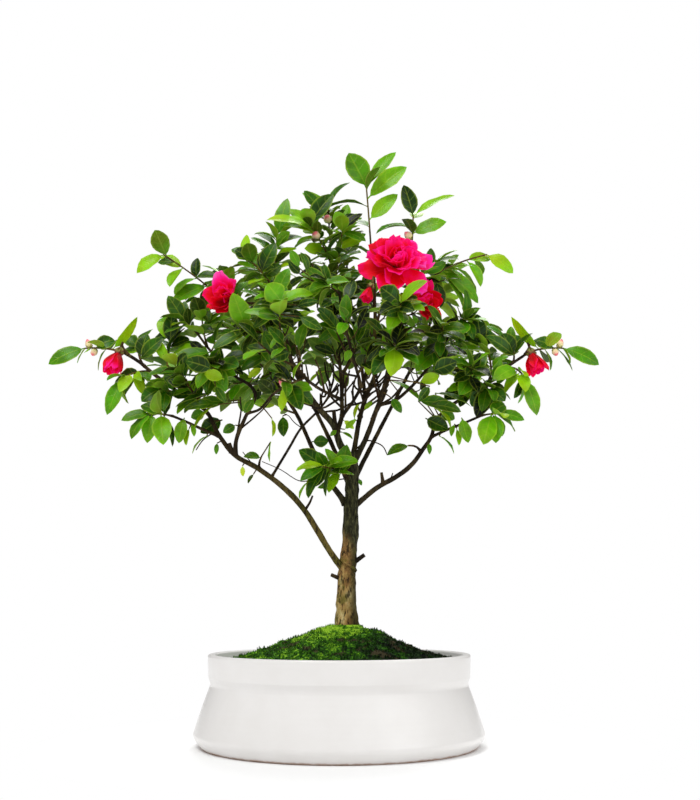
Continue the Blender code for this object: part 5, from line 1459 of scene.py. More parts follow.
class Crown:
    """Every leaf so far, and what a new one must stay clear of."""

    def __init__(self):
        self.wood = [tree_of_node("tree_wood")]
        self.blooms = [tree_of_node(bloom[0]) for bloom in BLOOMS]
        self.twigs = {name: (twig.at(0.5), tree_of_tube(twig)) for name, twig in twigs.items()}
        self.placed = []
        for name, group in leaves.items():
            for leaf in group:
                self.keep(leaf, name)

    def keep(self, leaf, shoot):
        self.placed.append((shoot, leaf.mid(0.5), wedge(leaf, False), wedge(leaf)))

    def in_window(self, place):
        """Whether a seen place is in the window under the crown, where bare stems show."""
        top = STEMS_TO[1] + RAGGED * noise.noise(place * 55)
        return STEMS_FROM[0] < place.x < STEMS_TO[0] and STEMS_FROM[1] < place.z < top

    def hides(self, leaf):
        """Whether a leaf stands in front of a bloom or in the window."""
        for share in LOOK_AT:
            point = leaf.mid(share)
            place = seen(point)
            if self.in_window(place):
                return True
            for middle, radius in KEEP_IN_SIGHT:
                off = place - seen(MM * Vector(middle))
                if point.y < MM * middle[1] + SIGHT_DEPTH and off.length < MM * radius + SIGHT_MARGIN:
                    return True
        return False

    def takes(self, leaf, shoot):
        """Keep the leaf if it is clear of all but its own shoot at its root."""
        full, blade, middle = wedge(leaf), wedge(leaf, False), leaf.mid(0.5)
        near = [p for p in self.placed if (p[1] - middle).length < LEAF_NEAR]
        others = [tree for name, (place, tree) in self.twigs.items()
                  if name != shoot and (place - middle).length < LEAF_NEAR]
        if any(full.overlap(tree) for tree in self.blooms + others + [p[3] for p in near if p[0] != shoot]):
            return False
        if any(blade.overlap(tree) for tree in self.wood + [self.twigs[shoot][1]]):
            return False
        if any(blade.overlap(p[2]) for p in near if p[0] == shoot):
            return False
        self.placed.append((shoot, middle, blade, full))
        return True


# %% Where the blooms and buds are
HALF_OPEN = ((5, 54, 30, 22, -0.3), (2, 22, 21, 17, -0.4))
CLOSED_CUP = ((5, 32, 27, 18.5, -0.5),)
BLOOMS = (
    ("open_bloom", (58, -58, 470), (0.1, -0.9, 0.42), "centre_fork", 1,
     ((6, 82, 40, 30, 0.35), (5, 56, 32, 25, 0.05), (3, 26, 24, 20, -0.5))),
    ("left_bloom", (-114, -30, 443), (-0.45, -0.85, 0.1), "centre_left", 0.84, HALF_OPEN),
    ("right_bloom", (83, -6, 444), (0.6, -0.7, -0.05), "right_up", 0.72, HALF_OPEN),
    ("left_tip_bloom", (-229, -12, 388), (-0.22, -0.35, -0.91), "low_left", 0.965, CLOSED_CUP),
    ("right_tip_bloom", (199, -10, 388), (0.22, -0.35, -0.91), "low_right", 0.965, CLOSED_CUP),
    ("hanging_bloom", (29, -83, 436), (-0.35, -0.3, -0.89), "centre_fork", 0.86,
     ((3, 34, 16.5, 13, -0.5),)),
)
BUDS = (
    ("far_left", 0.8, (-0.3, -0.4, 0.85), 10),
    ("far_left", 0.62, (-0.2, -0.5, -0.8), 9.5),
    ("far_right", 0.8, (0.3, -0.4, 0.85), 10),
    ("far_right", 0.62, (0.2, -0.5, -0.8), 9.5),
    ("crown_mid_high", 0.55, (-0.25, -0.9, 0.3), 12),
    ("crown_mid_bud", 0.62, (-0.2, -0.9, 0.3), 12),
    ("left_bright", 0.55, (-0.7, -0.6, 0.1), 13),
    ("top_right", 0.4, (-0.7, -0.5, 0.5), 11),
)

crown = Crown()

# %% More leaves on the shoots
EXTRA_SEED = 500
EXTRA_PER_SHOOT = 16
EXTRA_AT_EDGE = 2
EDGE_SHOOTS = ("far_", "_upright", "_hem", "_outlier", "_drooping")  # these have nearly all their leaves
BARE_SHOOTS = ("limb_tuft", "right_tuft", "top", "top_right")
EXTRA_TRIES = 7
EXTRA_SIZE = 0.8
EXTRA_SLIM = 0.86
EXTRA_TURNS = 0.55  # how far a leaf is turned round its own midrib, in radians


def add_leaf(name, path, share, around, rng, tries_left, size):
    """One more leaf on a path, at the first try that finds space."""
    for tries in range(tries_left):
        leaf = leaf_on(path, share, around, rng, tries)
        leaf.length *= size
        leaf.width *= size * EXTRA_SLIM
        turn = Quaternion(leaf.ahead, rng.gauss(0, EXTRA_TURNS))
        leaf.up, leaf.side = turn @ leaf.up, turn @ leaf.side
        if not crown.hides(leaf) and crown.takes(leaf, name):
            leaves[name].append(leaf)
            return True
    return False


def extra_leaves():
    made = 0
    for number, name in enumerate(twigs):
        rng = random.Random(EXTRA_SEED + number)
        around = rng.uniform(0, 2 * math.pi)
        count = EXTRA_AT_EDGE if any(part in name for part in EDGE_SHOOTS) else EXTRA_PER_SHOOT
        for k in range(0 if name in BARE_SHOOTS else count):
            around += GOLDEN_TURN
            made += add_leaf(name, twigs[name], 0.04 + 0.94 * (k + 0.5) / count, around, rng,
                             EXTRA_TRIES, EXTRA_SIZE)
    return made


print("leaves between:", extra_leaves())

# %% [markdown]
# Under the crown, thin bare stems cross each other, and a few single leaves hang on fine stalks from the
# closest wood. They show first through the gaps, so they are listed one by one. A narrow leaf there is one of
# usual width that is seen nearly edge-on.

# %% Bare stems and lone leaves
STEMS = (  # limb, radius at the start, points
    ("thin_cross", 0.6, ((-11, 19, 354), (-4, 20, 358), (2, 22, 366))),
    ("front_left", 0.6, ((-9, -19, 345), (-11, -17, 356), (-12, -14, 369), (-14, -12, 382),
        (-15, -9, 393))),
    ("centre_up", 1.2, ((1, 14, 372), (7, 12, 382), (12, 11, 393), (15, 9, 403), (20, 8, 415))),
    ("centre_up", 1.0, ((3, 8, 346), (8, 6, 355), (14, 3, 362), (19, 1, 370), (24, -1, 378),
        (28, -4, 388), (29, -6, 396))),
    ("centre_up", 0.8, ((1, 15, 380), (4, 19, 392), (2, 23, 403), (5, 27, 415))),
    ("centre_fork", 0.9, ((25, -28, 357), (23, -26, 367), (18, -24, 374), (16, -22, 384), (10, -20, 393))),
    ("leader", 1.2, ((32, 16, 358), (40, 9, 360), (47, 2, 364))),
    ("leader", 1.1, ((33, 16, 360), (27, 14, 368), (29, 12, 379), (35, 10, 390), (36, 8, 399))),
    ("right_up", 1.5, ((38, -8, 322), (42, -5, 337), (45, -3, 353), (49, 0, 366))),
    ("right_up", 0.8, ((51, -14, 369), (45, -17, 379), (46, -20, 389), (42, -22, 399))),
    ("leader", 0.8, ((40, 18, 383), (46, 20, 392), (45, 22, 403), (50, 24, 412))),
    ("right_fork", 0.6, ((78, 6, 362), (74, 7, 374), (75, 8, 387), (69, 10, 398))),
    ("left_rise", 1.0, ((-99, -29, 307), (-88, -30, 317), (-76, -31, 328), (-68, -33, 338))),
    ("left_rise", 1.1, ((-101, -27, 297), (-101, -28, 313), (-99, -29, 327), (-100, -31, 340))),
    ("low_left", 0.8, ((-127, -20, 306), (-137, -22, 298), (-144, -24, 287))),
    ("low_left", 1.4, ((-34, -11, 228), (-30, -13, 235), (-27, -15, 242))),
    ("low_right", 0.7, ((52, -4, 258), (54, -6, 266))),
    ("trunk", 0.9, ((16, 0, 288), (27, -4, 299), (36, -9, 297), (44, -14, 292), (48, -18, 283))),
    ("trunk", 0.7, ((5, 0, 262), (-8, -4, 259), (-22, -8, 260), (-40, -12, 257), (-59, -16, 268),
        (-78, -20, 276))),
    ("left_mid", 0.6, ((-40, 28, 316), (-48, 26, 323), (-54, 24, 330), (-59, 22, 332))),
    ("low_left", 0.6, ((-86, -21, 271), (-93, -23, 280), (-97, -25, 285))),
    ("left_mid", 0.7, ((-59, 43, 356), (-53, 46, 369), (-55, 49, 383), (-63, 53, 392))),
    ("centre_left", 0.9, ((-41, -15, 358), (-38, -17, 370), (-41, -19, 380), (-37, -21, 391))),
)
LONE_LEAVES = (  # root, the tip across and up, width that shows, how young
    (-104, -32, 311, -116, 303, 10, 0.35), (-103, -25, 483, -124, 455, 10, 0.5),
    (-88, -19, 471, -108, 497, 12, 0.2), (-124, 0, 446, -139, 450, 8, 0.2),
    (-53, -108, 386, -64, 371, 6, 0.6), (-46, -101, 370, -65, 362, 14, 0.2),
    (-71, -30, 383, -100, 365, 12, 0.35), (-79, -24, 371, -93, 361, 8, 0.95),
    (-58, -55, 342, -43, 348, 12, 0.9), (-35, -91, 364, -43, 345, 3, 0.7),
    (-16, 35, 381, -33, 367, 5, 0.95), (-50, -18, 421, -30, 431, 9, 0.8),
    (-37, -101, 446, -49, 458, 9, 0.2), (30, 8, 454, 25, 441, 8, 0.8), (59, -18, 376, 66, 382, 5, 1),
    (11, -76, 378, 6, 366, 8, 0.6), (-29, 20, 302, -12, 302, 13, 0.3), (-14, -34, 268, -42, 262, 8, 0.8),
    (-10, -16, 263, 15, 261, 4, 0.6), (-32, -18, 256, -40, 238, 3, 0.7), (-3, -6, 310, -10, 304, 5, 0.5),
    (15, 7, 323, 22, 342, 4, 0.9), (25, 9, 334, 34, 342, 5, 0.8), (20, 1, 260, 22, 253, 4, 0.4),
    (-97, -24, 271, -96, 260, 5, 0.95), (-86, -23, 263, -91, 253, 4, 0.2),
    (-69, -27, 295, -69, 274, 3, 0.7), (-67, -44, 316, -66, 297, 4, 0.8),
    (-61, 35, 332, -59, 309, 12, 0.35), (-38, -101, 451, -46, 468, 9, 0.5),
    (-26, -101, 457, -40, 465, 10, 0.2), (-30, -101, 447, -36, 466, 7, 0.3),
    (-39, -117, 411, -19, 415, 9, 0.2), (-48, -18, 423, -25, 430, 7, 0.8),
    (-37, -113, 400, -16, 386, 11, 0.3), (-7, 15, 436, -25, 443, 9, 0.15), (-4, 15, 423, -23, 408, 10, 0.4),
    (-35, -20, 404, -20, 417, 8, 0.2), (-20, 5, 549, -39, 570, 12, 0.3), (-34, -9, 531, -9, 557, 9, 0.65),
    (4, -2, 321, 15, 312, 6, 0.95), (5, -5, 311, 17, 321, 6, 0.7), (2, -6, 308, 13, 300, 4, 0.5),
)
LONE_PAIRS = (  # the same, and these also stand on the other side
    (-150, -32, 308, -152, 290, 6, 0.75), (-148, -32, 312, -144, 299, 5, 0.6),
    (-129, -19, 330, -145, 307, 5, 0.85), (-120, -20, 320, -142, 307, 17, 0.25),
    (-136, -21, 326, -150, 320, 12, 0.5), (-133, -27, 301, -147, 282, 3.5, 0.6),
    (-123, -24, 294, -123, 282, 5, 0.5), (-131, -17, 388, -175, 374, 15, 0.45),
    (-124, -55, 360, -149, 368, 18, 0.2), (-113, -45, 352, -132, 358, 12, 0.8),
    (-112, -34, 335, -145, 331, 13, 0.35), (-86, 58, 376, -120, 352, 7, 0.6),
    (-155, -34, 318, -160, 292, 13, 0.6), (-122, -55, 346, -111, 330, 9, 0.3),
    (-210, -19, 364, -219, 343, 8, 0.4), (-121, -38, 330, -154, 323, 12, 0.3),
    (-129, -30, 343, -164, 328, 8, 0.35), (-85, -40, 337, -94, 321, 9, 0.4),
)
LONE_SEED = 77
LONE_FORWARD = 3  # how much nearer to the viewer the tip is than the root
LONE_SLENDER = 0.4
STALK_RADIUS = 0.0006


def closest_on(path, point):
    """The point of a path that is closest to a point."""
    best = min(range(len(path.points) - 1), key=lambda k: (path.points[k].lerp(path.points[k + 1], 0.5)
                                                           - point).length)
    a, b = path.points[best], path.points[best + 1]
    along = (point - a).dot(b - a) / (b - a).length_squared
    return a.lerp(b, min(max(along, 0.0), 1.0))


def stem_line(limb, radius, points):
    """A bare stem from its limb, half as thick at its end."""
    points = [MM * Vector(point) for point in points]
    points[0] = closest_on(smooth_limbs[limb], points[0])
    return smooth(points, [MM * radius * (1 - 0.5 * k / len(points)) for k in range(len(points))], 4)


def lone_leaf(root, tip, shows, bend):
    chord = tip - root
    width = max(shows, LONE_SLENDER * chord.length)
    turned = shows / width
    edge = chord.cross(VIEWER).normalized()
    face = VIEWER * turned + edge * math.copysign(math.sqrt(1 - turned * turned), edge.z)
    return leaf_to(root, tip, width, face, bend)


def hang_lone_leaves():
    """The lone leaves, each with its stalk's line, its blade and how young it is."""
    made = []
    others = [(2 * MIRROR_X - x, y, z, 2 * MIRROR_X - tip_x, *rest) for x, y, z, tip_x, *rest in LONE_PAIRS]
    wood = [*smooth_limbs.values(), *shoot_paths.values(), *bare_stems]
    rng = random.Random(LONE_SEED)
    for number, (x, y, z, tip_x, tip_z, shows, young) in enumerate([*LONE_LEAVES, *LONE_PAIRS, *others]):
        name, bend = "lone_%d" % number, rng.uniform(0.3, 0.9)
        for shift in SHOWN_SHIFTS:
            start = MM * Vector((x, y - shift, z))
            end = MM * Vector((tip_x, y - shift - LONE_FORWARD, tip_z))
            foot = min((closest_on(line, start) for line in wood), key=lambda p: (p - start).length)
            stalk = Path((foot, start), (1.3 * STALK_RADIUS, STALK_RADIUS))
            crown.twigs[name] = (start, tree_of_tube(stalk.part(0.5, 1, TEST_STEP)))
            leaf = lone_leaf(start, end, MM * shows, bend)
            if crown.takes(leaf, name):
                made.append((stalk, leaf, young))
                break
            del crown.twigs[name]
    return made


bare_stems = [stem_line(*stem) for stem in STEMS]
lone_leaves = hang_lone_leaves()
print("bare stems:", len(bare_stems), "lone leaves:", len(lone_leaves))

# %% [markdown]
# Inside the crown the bare wood carries short sprigs, set round it by the golden angle. They close the
# crown as on the real tree, where hardly any light comes through its middle.

# %% Grow sprigs on the bare wood
SPRIG_SEED = 1200
SPRIG_STEP = 0.01  # wood between one sprig and the next
SPRIG_LOW, SPRIG_HIGH = 0.352, 0.5  # heights between which the wood carries sprigs
SPRIG_OUT = 0.17  # how far to either side
SPRIG_FORTH, BARE_FORTH = 0.5, 1.3  # how much a sprig, and a bare one, follows its wood
SPRIG_LONG = (0.01, 0.024)
SPRIG_RADII = (0.0009, 0.0008, 0.0006)
SPRIG_LEAVES = (3, 5)
SPRIG_SIZE = (0.7, 0.98)
SPRIG_TRIES = 5
BARE_LOW, BARE_TO = 0.328, 0.042  # the bare ones in the window stand above and to the left of this
BARE_LONGER, BARE_THICKER = 2.1, 1.4


def sprig_line(line, share, around, long, forth, thick):
    """A short twig that leaves its wood sideways and bends along it."""
    foot, ahead = line.at(share), line.ahead(share)
    out = Quaternion(ahead, around) @ ahead.orthogonal().normalized()
    knee = foot + (out + forth * ahead).normalized() * 0.55 * long
    end = knee + (out + 2 * forth * ahead + 0.4 * UP).normalized() * 0.45 * long
    return Path((foot, knee, end), [radius * thick for radius in SPRIG_RADII])


def grow_sprigs():
    """The twigs of the sprigs by name. Their leaves join the other leaves."""
    rng = random.Random(SPRIG_SEED)
    made = {}
    branches = [path.part(0, bare_shares[name], TEST_STEP) for name, path in shoot_paths.items()]
    for line in [smooth_limbs[name] for name in LIMBS] + branches:
        around = rng.uniform(0, 2 * math.pi)
        for k in range(int(line.length / SPRIG_STEP)):
            share = (k + rng.uniform(0.2, 0.8)) * SPRIG_STEP / line.length
            foot = line.at(share)
            around += GOLDEN_TURN
            bare = crown.in_window(seen(foot)) and foot.z > BARE_LOW and foot.x < BARE_TO
            if not (bare or SPRIG_LOW < foot.z < SPRIG_HIGH) or abs(foot.x - MM * MIRROR_X) > SPRIG_OUT:
                continue
            long = rng.uniform(*SPRIG_LONG) * (BARE_LONGER if bare else 1)
            shape = (BARE_FORTH, BARE_THICKER) if bare else (SPRIG_FORTH, 1)
            twig = sprig_line(line, share, around, long, *shape)
            tube = tree_of_tube(twig.part(0.4, 1, TEST_STEP))
            near = [p[3] for p in crown.placed if (p[1] - foot).length < LEAF_NEAR]
            if any(tube.overlap(tree) for tree in crown.blooms + near):
                continue
            name = "sprig_%d" % len(made)
            crown.twigs[name], leaves[name] = (twig.at(1), tube), []
            count = rng.randint(*SPRIG_LEAVES)
            for leaf in range(count):
                place = PATH_END if leaf == count - 1 else 0.45 + 0.5 * leaf / count
                add_leaf(name, twig, place, around + GOLDEN_TURN * leaf, rng, SPRIG_TRIES,
                         rng.uniform(*SPRIG_SIZE))
            if leaves[name] or bare:
                made[name] = twig
            else:
                del crown.twigs[name], leaves[name]
    return made


sprigs = grow_sprigs()
print("sprigs:", len(sprigs), "with leaves:", sum(len(leaves[name]) for name in sprigs))

# %% [markdown]
# ## Dress the shoots
#
# One piece stands for each shoot's solid: the twig, reddish where it is young, and its leaves. Leaves out
# at the tips and at the top look young and light, partly as painted light, and those inside the crown are
# darker as painted shade.

# %% How light a leaf is, with painted shade
LIGHTER_FROM = 0.1  # distance from the crown's middle where leaves begin to get lighter; darker inside is painted shade
LIGHTER_AT = 0.33
COUNTS_ACROSS, COUNTS_BACK, COUNTS_UP, COUNTS_DOWN = 0.9, 0.35, 1.25, 0.5  # in that distance
TONE_LEAST, TONE_RISE, TONE_MOST = 0.32, 0.38, 0.82
TONE_VARIES = 0.26
# Sprig leaves inside the crown are darker by this much, as painted shade.
SPRIG_PAINTED_SHADE = 0.04


def tone_with_painted_shade(leaf, rng):
    """From 0 for the darkest to 1 for the brightest: darker inside as painted shade, lighter out and on top.
    """
    if leaf.young is not None:
        return leaf.young
    off = leaf.mid(0.6) - CROWN_MIDDLE
    upward = COUNTS_UP if off.z > 0 else COUNTS_DOWN
    spread = math.sqrt(off.x * off.x * COUNTS_ACROSS + off.y * off.y * COUNTS_BACK + off.z * off.z * upward)
    young = min(max((spread - LIGHTER_FROM) / (LIGHTER_AT - LIGHTER_FROM), 0.0), 1.0)
    varied = rng.gauss(0, TONE_VARIES * (1 - 0.4 * young))
    return min(max(TONE_LEAST + TONE_RISE * young + varied, 0.0), TONE_MOST)


# %% Dress every shoot
LEAF_FINISHES = [leaf_top, leaf_under, bark]
TWIG_SIDES, BRANCH_SIDES, THIN_SIDES = 9, 10, 5
TWIG_STEP, THIN_STEP = 0.004, 0.006
TWIG_OVERLAP = 0.02  # share of a shoot where its twig starts inside the bare branch
SHOOT_SEED, SPRIG_LEAF_SEED = 960, 950


def dress_shoot(name, number):
    rng = random.Random(SHOOT_SEED + number)
    fine_twig = shoot_paths[name].part(bare_shares[name] - TWIG_OVERLAP, 1, TWIG_STEP)
    bm = gather([grow_tube(fine_twig, TWIG_SIDES, TWIG_STEP, young=0.75)])
    paint(bm.faces, WOOD)
    for leaf in leaves[name]:
        shift = closest_on(fine_twig, leaf.root) - leaf.root
        lay_blade(bm, leaf, Habit(rng), tone_with_painted_shade(leaf, rng), shift)
    finish_piece("leaves_" + name, bm, LEAF_FINISHES, ["shoot_" + name], 60)


def dress_sprigs():
    """The sprigs and the lone leaves as one piece."""
    rng = random.Random(SPRIG_LEAF_SEED)
    wood = [grow_tube(twig, THIN_SIDES, THIN_STEP, young=0.3 if leaves[name] else 0.0)
            for name, twig in sprigs.items()]
    wood += [grow_tube(stalk, THIN_SIDES, THIN_STEP, young=0.5) for stalk, leaf, young in lone_leaves]
    bm = gather(wood)
    paint(bm.faces, WOOD)
    still = Vector((0, 0, 0))
    for name in sprigs:
        for leaf in leaves[name]:
            lay_blade(bm, leaf, Habit(rng), tone_with_painted_shade(leaf, rng) - SPRIG_PAINTED_SHADE, still)
    for stalk, leaf, young in lone_leaves:
        lay_blade(bm, leaf, Habit(rng), young, still)
    finish_piece("sprigs", bm, LEAF_FINISHES, (), 60)


for number, name in enumerate(twigs):
    dress_shoot(name, number)
dress_sprigs()
print("faces of the shoots:", faces_of("leaves_"))
print("faces of the sprigs:", made_faces["sprigs"])

# %% Dress the wood
TRUNK_SIDES, LIMB_SIDES, STEM_SIDES = 40, 16, 7
STUB_STEP, STEM_STEP, BRANCH_PIECE = 0.002, 0.003, 0.005


def dress_wood():
    """The trunk, the limbs, the stubs, the bare stems and the bare branches as one piece."""
    parts = [grow_tube(smooth_limbs["trunk"], TRUNK_SIDES, BARK_STEP)]
    for name in LIMBS:
        parts.append(grow_tube(smooth_limbs[name], LIMB_SIDES, BARK_STEP * 2, collar=COLLAR))
    for name, share, way, length, radius in STUBS:
        start = smooth_limbs[name].at(share)
        stub = Path((start, start + Vector(way).normalized() * MM * length), (1.2 * MM * radius, MM * radius))
        parts.append(grow_tube(stub, BRANCH_SIDES, STUB_STEP, collar=0.9))
    parts += [grow_tube(stem, STEM_SIDES, STEM_STEP, collar=0.6) for stem in bare_stems]
    for name, path in shoot_paths.items():
        bare = path.part(0, bare_shares[name], BRANCH_PIECE)
        limb = next(shoot[1] for shoot in SHOOTS if shoot[0] == name)
        bare.points[0] = closest_on(smooth_limbs[limb], bare.points[0])
        parts.append(grow_tube(Path(bare.points, bare.radii), BRANCH_SIDES, TWIG_STEP, young=0.1, collar=0.5))
    finish_piece("tree_bark", gather(parts), [bark], ["tree_wood"], 80)


dress_wood()
print("faces of the wood:", made_faces["tree_bark"])

# %% [markdown]
# ## Petals
#
# A double camellia bloom has whorls of broad petals round a few small, folded ones. A petal is narrow at
# its foot, and broad, rounded and notched at its end. It is cupped, with a ruffled rim and a crease down
# its middle. A flat grid as for the leaves is used, with more rows near the end where the ruffles are.

# %% One petal
PETAL_ROWS = (0.0, 0.14, 0.28, 0.42, 0.55, 0.67, 0.78, 0.88, 0.95, 1.0)
PETAL_COLUMNS = (0.0, 0.22, 0.45, 0.68, 0.86, 1.0)
PETAL_THICK = 0.00055
PETAL_ROOT_BACK = 0.0035
PETAL_ROOT_OUT = 0.0007
PETAL_LEAN = 0.2
TILT_EVEN, TILT_ODD = -4, 5  # degrees that neighbours in a whorl differ from its tilt
PETAL_SIZE_VARIES = 0.05
FIRST_WHORL_TURN, WHORL_TURN = 0.4, 0.37
petal_shape = flat_blade(PETAL_ROWS, PETAL_COLUMNS, False)


class Ruffle:
    """How one petal differs from the next."""

    def __init__(self, rng, strength):
        self.cup = rng.uniform(0.24, 0.42)
        self.crease = rng.uniform(0.04, 0.16)
        self.notch = rng.uniform(0.03, 0.13)
        self.waves = rng.uniform(0.9, 1.8)
        self.depth = rng.uniform(0.09, 0.2) * strength
        self.phase = rng.uniform(0, 2 * math.pi)
        self.twist = rng.uniform(-0.45, 0.45) * strength
        self.hem = rng.uniform(-0.5, 0.9) * strength


def lay_petal(bm, petal, ruffle, tone):
    """Add one petal to the bmesh, in its own form."""
    layer_of_tone = tone_layer(bm)
    for vertex in copy_into(bm, petal_shape):
        along, across, layer = vertex.co
        reach = abs(across)
        rounded_end = 1 - 0.4 * reach ** 2.7 * along
        notched = ruffle.notch * math.exp(-(across / 0.2) ** 2) * along ** 6
        share = along * rounded_end - notched
        half = petal.width / 2 * math.sin(math.pi * (0.06 + 0.6 * share)) ** 1.25
        normal, middle = petal.normal(share), petal.mid(share)
        turned = Quaternion(petal.side.cross(normal).normalized(), ruffle.twist * share)
        side, normal = turned @ petal.side, turned @ normal
        wave = math.sin(2 * math.pi * ruffle.waves * across + ruffle.phase) * share ** 3
        margin = math.sin(9.0 * share + ruffle.phase) * reach ** 2 * share
        rise = half * (ruffle.cup * across * across - ruffle.crease * max(0.0, 1 - 3.5 * reach))
        rise += petal.width * (ruffle.depth * 0.62 * wave + ruffle.depth * 0.55 * margin)
        rise += petal.length * ruffle.hem * 0.1 * max(0.0, share - 0.72) / 0.28
        thick = PETAL_THICK * (1 - 0.45 * max(reach, share))
        vertex.co = middle + side * half * across + normal * (rise + thick * (layer - 0.5))
        vertex[layer_of_tone] = tone


def whorl_petals(place, facing, whorls):
    """The petals of a bloom as blades, whorl by whorl, each with the number of its whorl."""
    side = facing.orthogonal().normalized()
    turn = FIRST_WHORL_TURN
    for number, (count, tilt, length, width, bend) in enumerate(whorls):
        for k in range(count):
            around = Quaternion(facing, turn + 2 * math.pi * k / count) @ side
            lean = math.radians(tilt + (TILT_ODD if k % 2 else TILT_EVEN))
            ahead = math.cos(lean) * facing + math.sin(lean) * around
            size = 1 + PETAL_SIZE_VARIES * math.sin(GOLDEN_TURN * k + turn)
            root = place - PETAL_ROOT_BACK * facing + PETAL_ROOT_OUT * around
            up = facing - around * PETAL_LEAN
            yield number, Blade(root, ahead, up, MM * length * size, MM * width * size, bend)
        turn += WHORL_TURN


# %% [markdown]
# Petals are velvety: red at the foot, and a magenta pink towards the rims and on the petals that point one
# way, as a painted highlight. The material goes from one to the other along the petal, with fine lines that
# fan out from its foot, and the petals glow a little with their own red, as painted light.

# %% Petal material
PETAL_PAINTED_GLOW = 0.14  # a painted glow: the petals give off some red light of their own


def petal_material():
    made, tree, shader = start_material("camellia_petal", 0.55, {
        "Sheen Weight": 0.12, "Sheen Roughness": 0.4, "Sheen Tint": colour(255, 120, 200),
        "Specular IOR Level": 0.18, "Emission Strength": PETAL_PAINTED_GLOW})
    place = add(tree, "UVMap").outputs["UV"]
    # Painted highlight: the petal is painted pinker towards its rim.
    rim_pink_highlight = fit(tree, split(tree, place)["X"], 0.45, 1.0, 0.0, 0.36)
    toned = maths(tree, "MULTIPLY_ADD", stored(tree, "tone"), 0.46, rim_pink_highlight)
    mottled = maths(tree, "MULTIPLY_ADD", mottling(tree, 0.012, 2.0), 0.22, toned, clamp=True)
    red = ramp(tree, mottled, (0.0, (150, 0, 6)), (0.34, (226, 0, 18)), (0.5, (240, 2, 48)),
               (0.64, (250, 8, 118)), (0.84, (255, 40, 178)), (1.0, (255, 120, 212)))
    join(tree, red, shader.inputs["Base Color"])
    # Painted glow: the petal's colour is also given off as light.
    join(tree, red, shader.inputs["Emission Color"])
    fanned = add(tree, "VectorMath", {0: place, 1: (2.0, 46.0, 1.0)}, operation="MULTIPLY")
    lines = add(tree, "TexNoise", {"Vector": fanned.outputs["Vector"], "Scale": 1.0, "Detail": 2.0})
    bump(tree, lines.outputs["Fac"], shader, 0.25, 0.0008)
    shine_through(tree, shader, red)
    return made


petal_red = petal_material()

# %% [markdown]
# ## Buds, calyx and scales
#
# A flower bud is an egg of cream petals with a pink tip, held by small scales like those of the calyx
# behind a bloom. The egg is a circle that is extruded along its axis, with five shallow folds that wind
# round it.

# %% Buds and scales
BUD_PROFILE = ((0.0, 0.1), (0.1, 0.24), (0.24, 0.34), (0.4, 0.38), (0.56, 0.355), (0.7, 0.29),
               (0.82, 0.2), (0.92, 0.1), (0.98, 0.03))
BUD_SIDES = 15
BUD_FOLDS = 5
BUD_FOLD_DEPTH, BUD_WINDING = 0.07, 1.2
CALYX_BACK = 0.009
STALK_RADII = (0.0016, 0.0014, 0.0013, 0.0013)
STALK_RUN = 0.006
STALK_RISE = 0.004
PETALS, SCALES = 0, 1  # the finishes of blooms and buds


def lay_bud(bm, root, ahead, length):
    """A closed bud with wound folds."""
    layer = tone_layer(bm)
    side = ahead.orthogonal().normalized()
    across = ahead.cross(side)
    rings = []
    for share, wide in BUD_PROFILE:
        ring = []
        for k in range(BUD_SIDES):
            angle = 2 * math.pi * k / BUD_SIDES
            fold = 1 + BUD_FOLD_DEPTH * math.sin(BUD_FOLDS * (angle + BUD_WINDING * share))
            out = math.cos(angle) * side + math.sin(angle) * across
            ring.append(root + ahead * length * share + out * length * wide * fold)
        rings.append(ring)
    for (share, _), ring in zip(BUD_PROFILE, extrude_rings(bm, rings)):
        for vertex in ring:
            vertex[layer] = share


def lay_scales(bm, root, ahead, rows):
    """Small scales round a foot. Each row: count, how far ahead, radius, length, width, opening, bend."""
    side = ahead.orthogonal().normalized()
    rng = random.Random(7)
    first = len(bm.faces)
    for number, (count, forth, radius, length, width, opening, bend) in enumerate(rows):
        for k in range(count):
            around = Quaternion(ahead, 2 * math.pi * (k + 0.5 * number) / count) @ side
            way = math.cos(opening) * ahead + math.sin(opening) * around
            scale = Blade(root + ahead * forth + around * radius, way, around, length, width, bend)
            lay_petal(bm, scale, Ruffle(rng, 0.1), 0.2 + 0.6 * number / len(rows))
    bm.faces.ensure_lookup_table()
    return bm.faces[first:]


def scale_material():
    made, tree, shader = start_material("bud_scale", 0.6)
    along = split(tree, add(tree, "UVMap").outputs["UV"])["X"]
    green = ramp(tree, mottling(tree, 0.004, 1.6), (0.0, (96, 92, 34)), (1.0, (168, 170, 78)))
    brown = blend(tree, fit(tree, along, 0.35, 0.95), green, colour(104, 30, 22))
    join(tree, brown, shader.inputs["Base Color"])
    return made


def bud_material():
    made, tree, shader = start_material("bud_petals", 0.5, {
        "Subsurface Weight": 0.15, "Subsurface Radius": (0.004, 0.003, 0.002)})
    drift = maths(tree, "MULTIPLY_ADD", mottling(tree, 0.005, 1.4), 0.3, stored(tree, "tone"))
    cream = ramp(tree, drift, (0.2, (196, 196, 96)), (0.55, (248, 236, 176)), (0.85, (250, 214, 176)),
                 (1.0, (244, 120, 130)))
    join(tree, cream, shader.inputs["Base Color"])
    return made


bud_cream = bud_material()
bud_scale = scale_material()

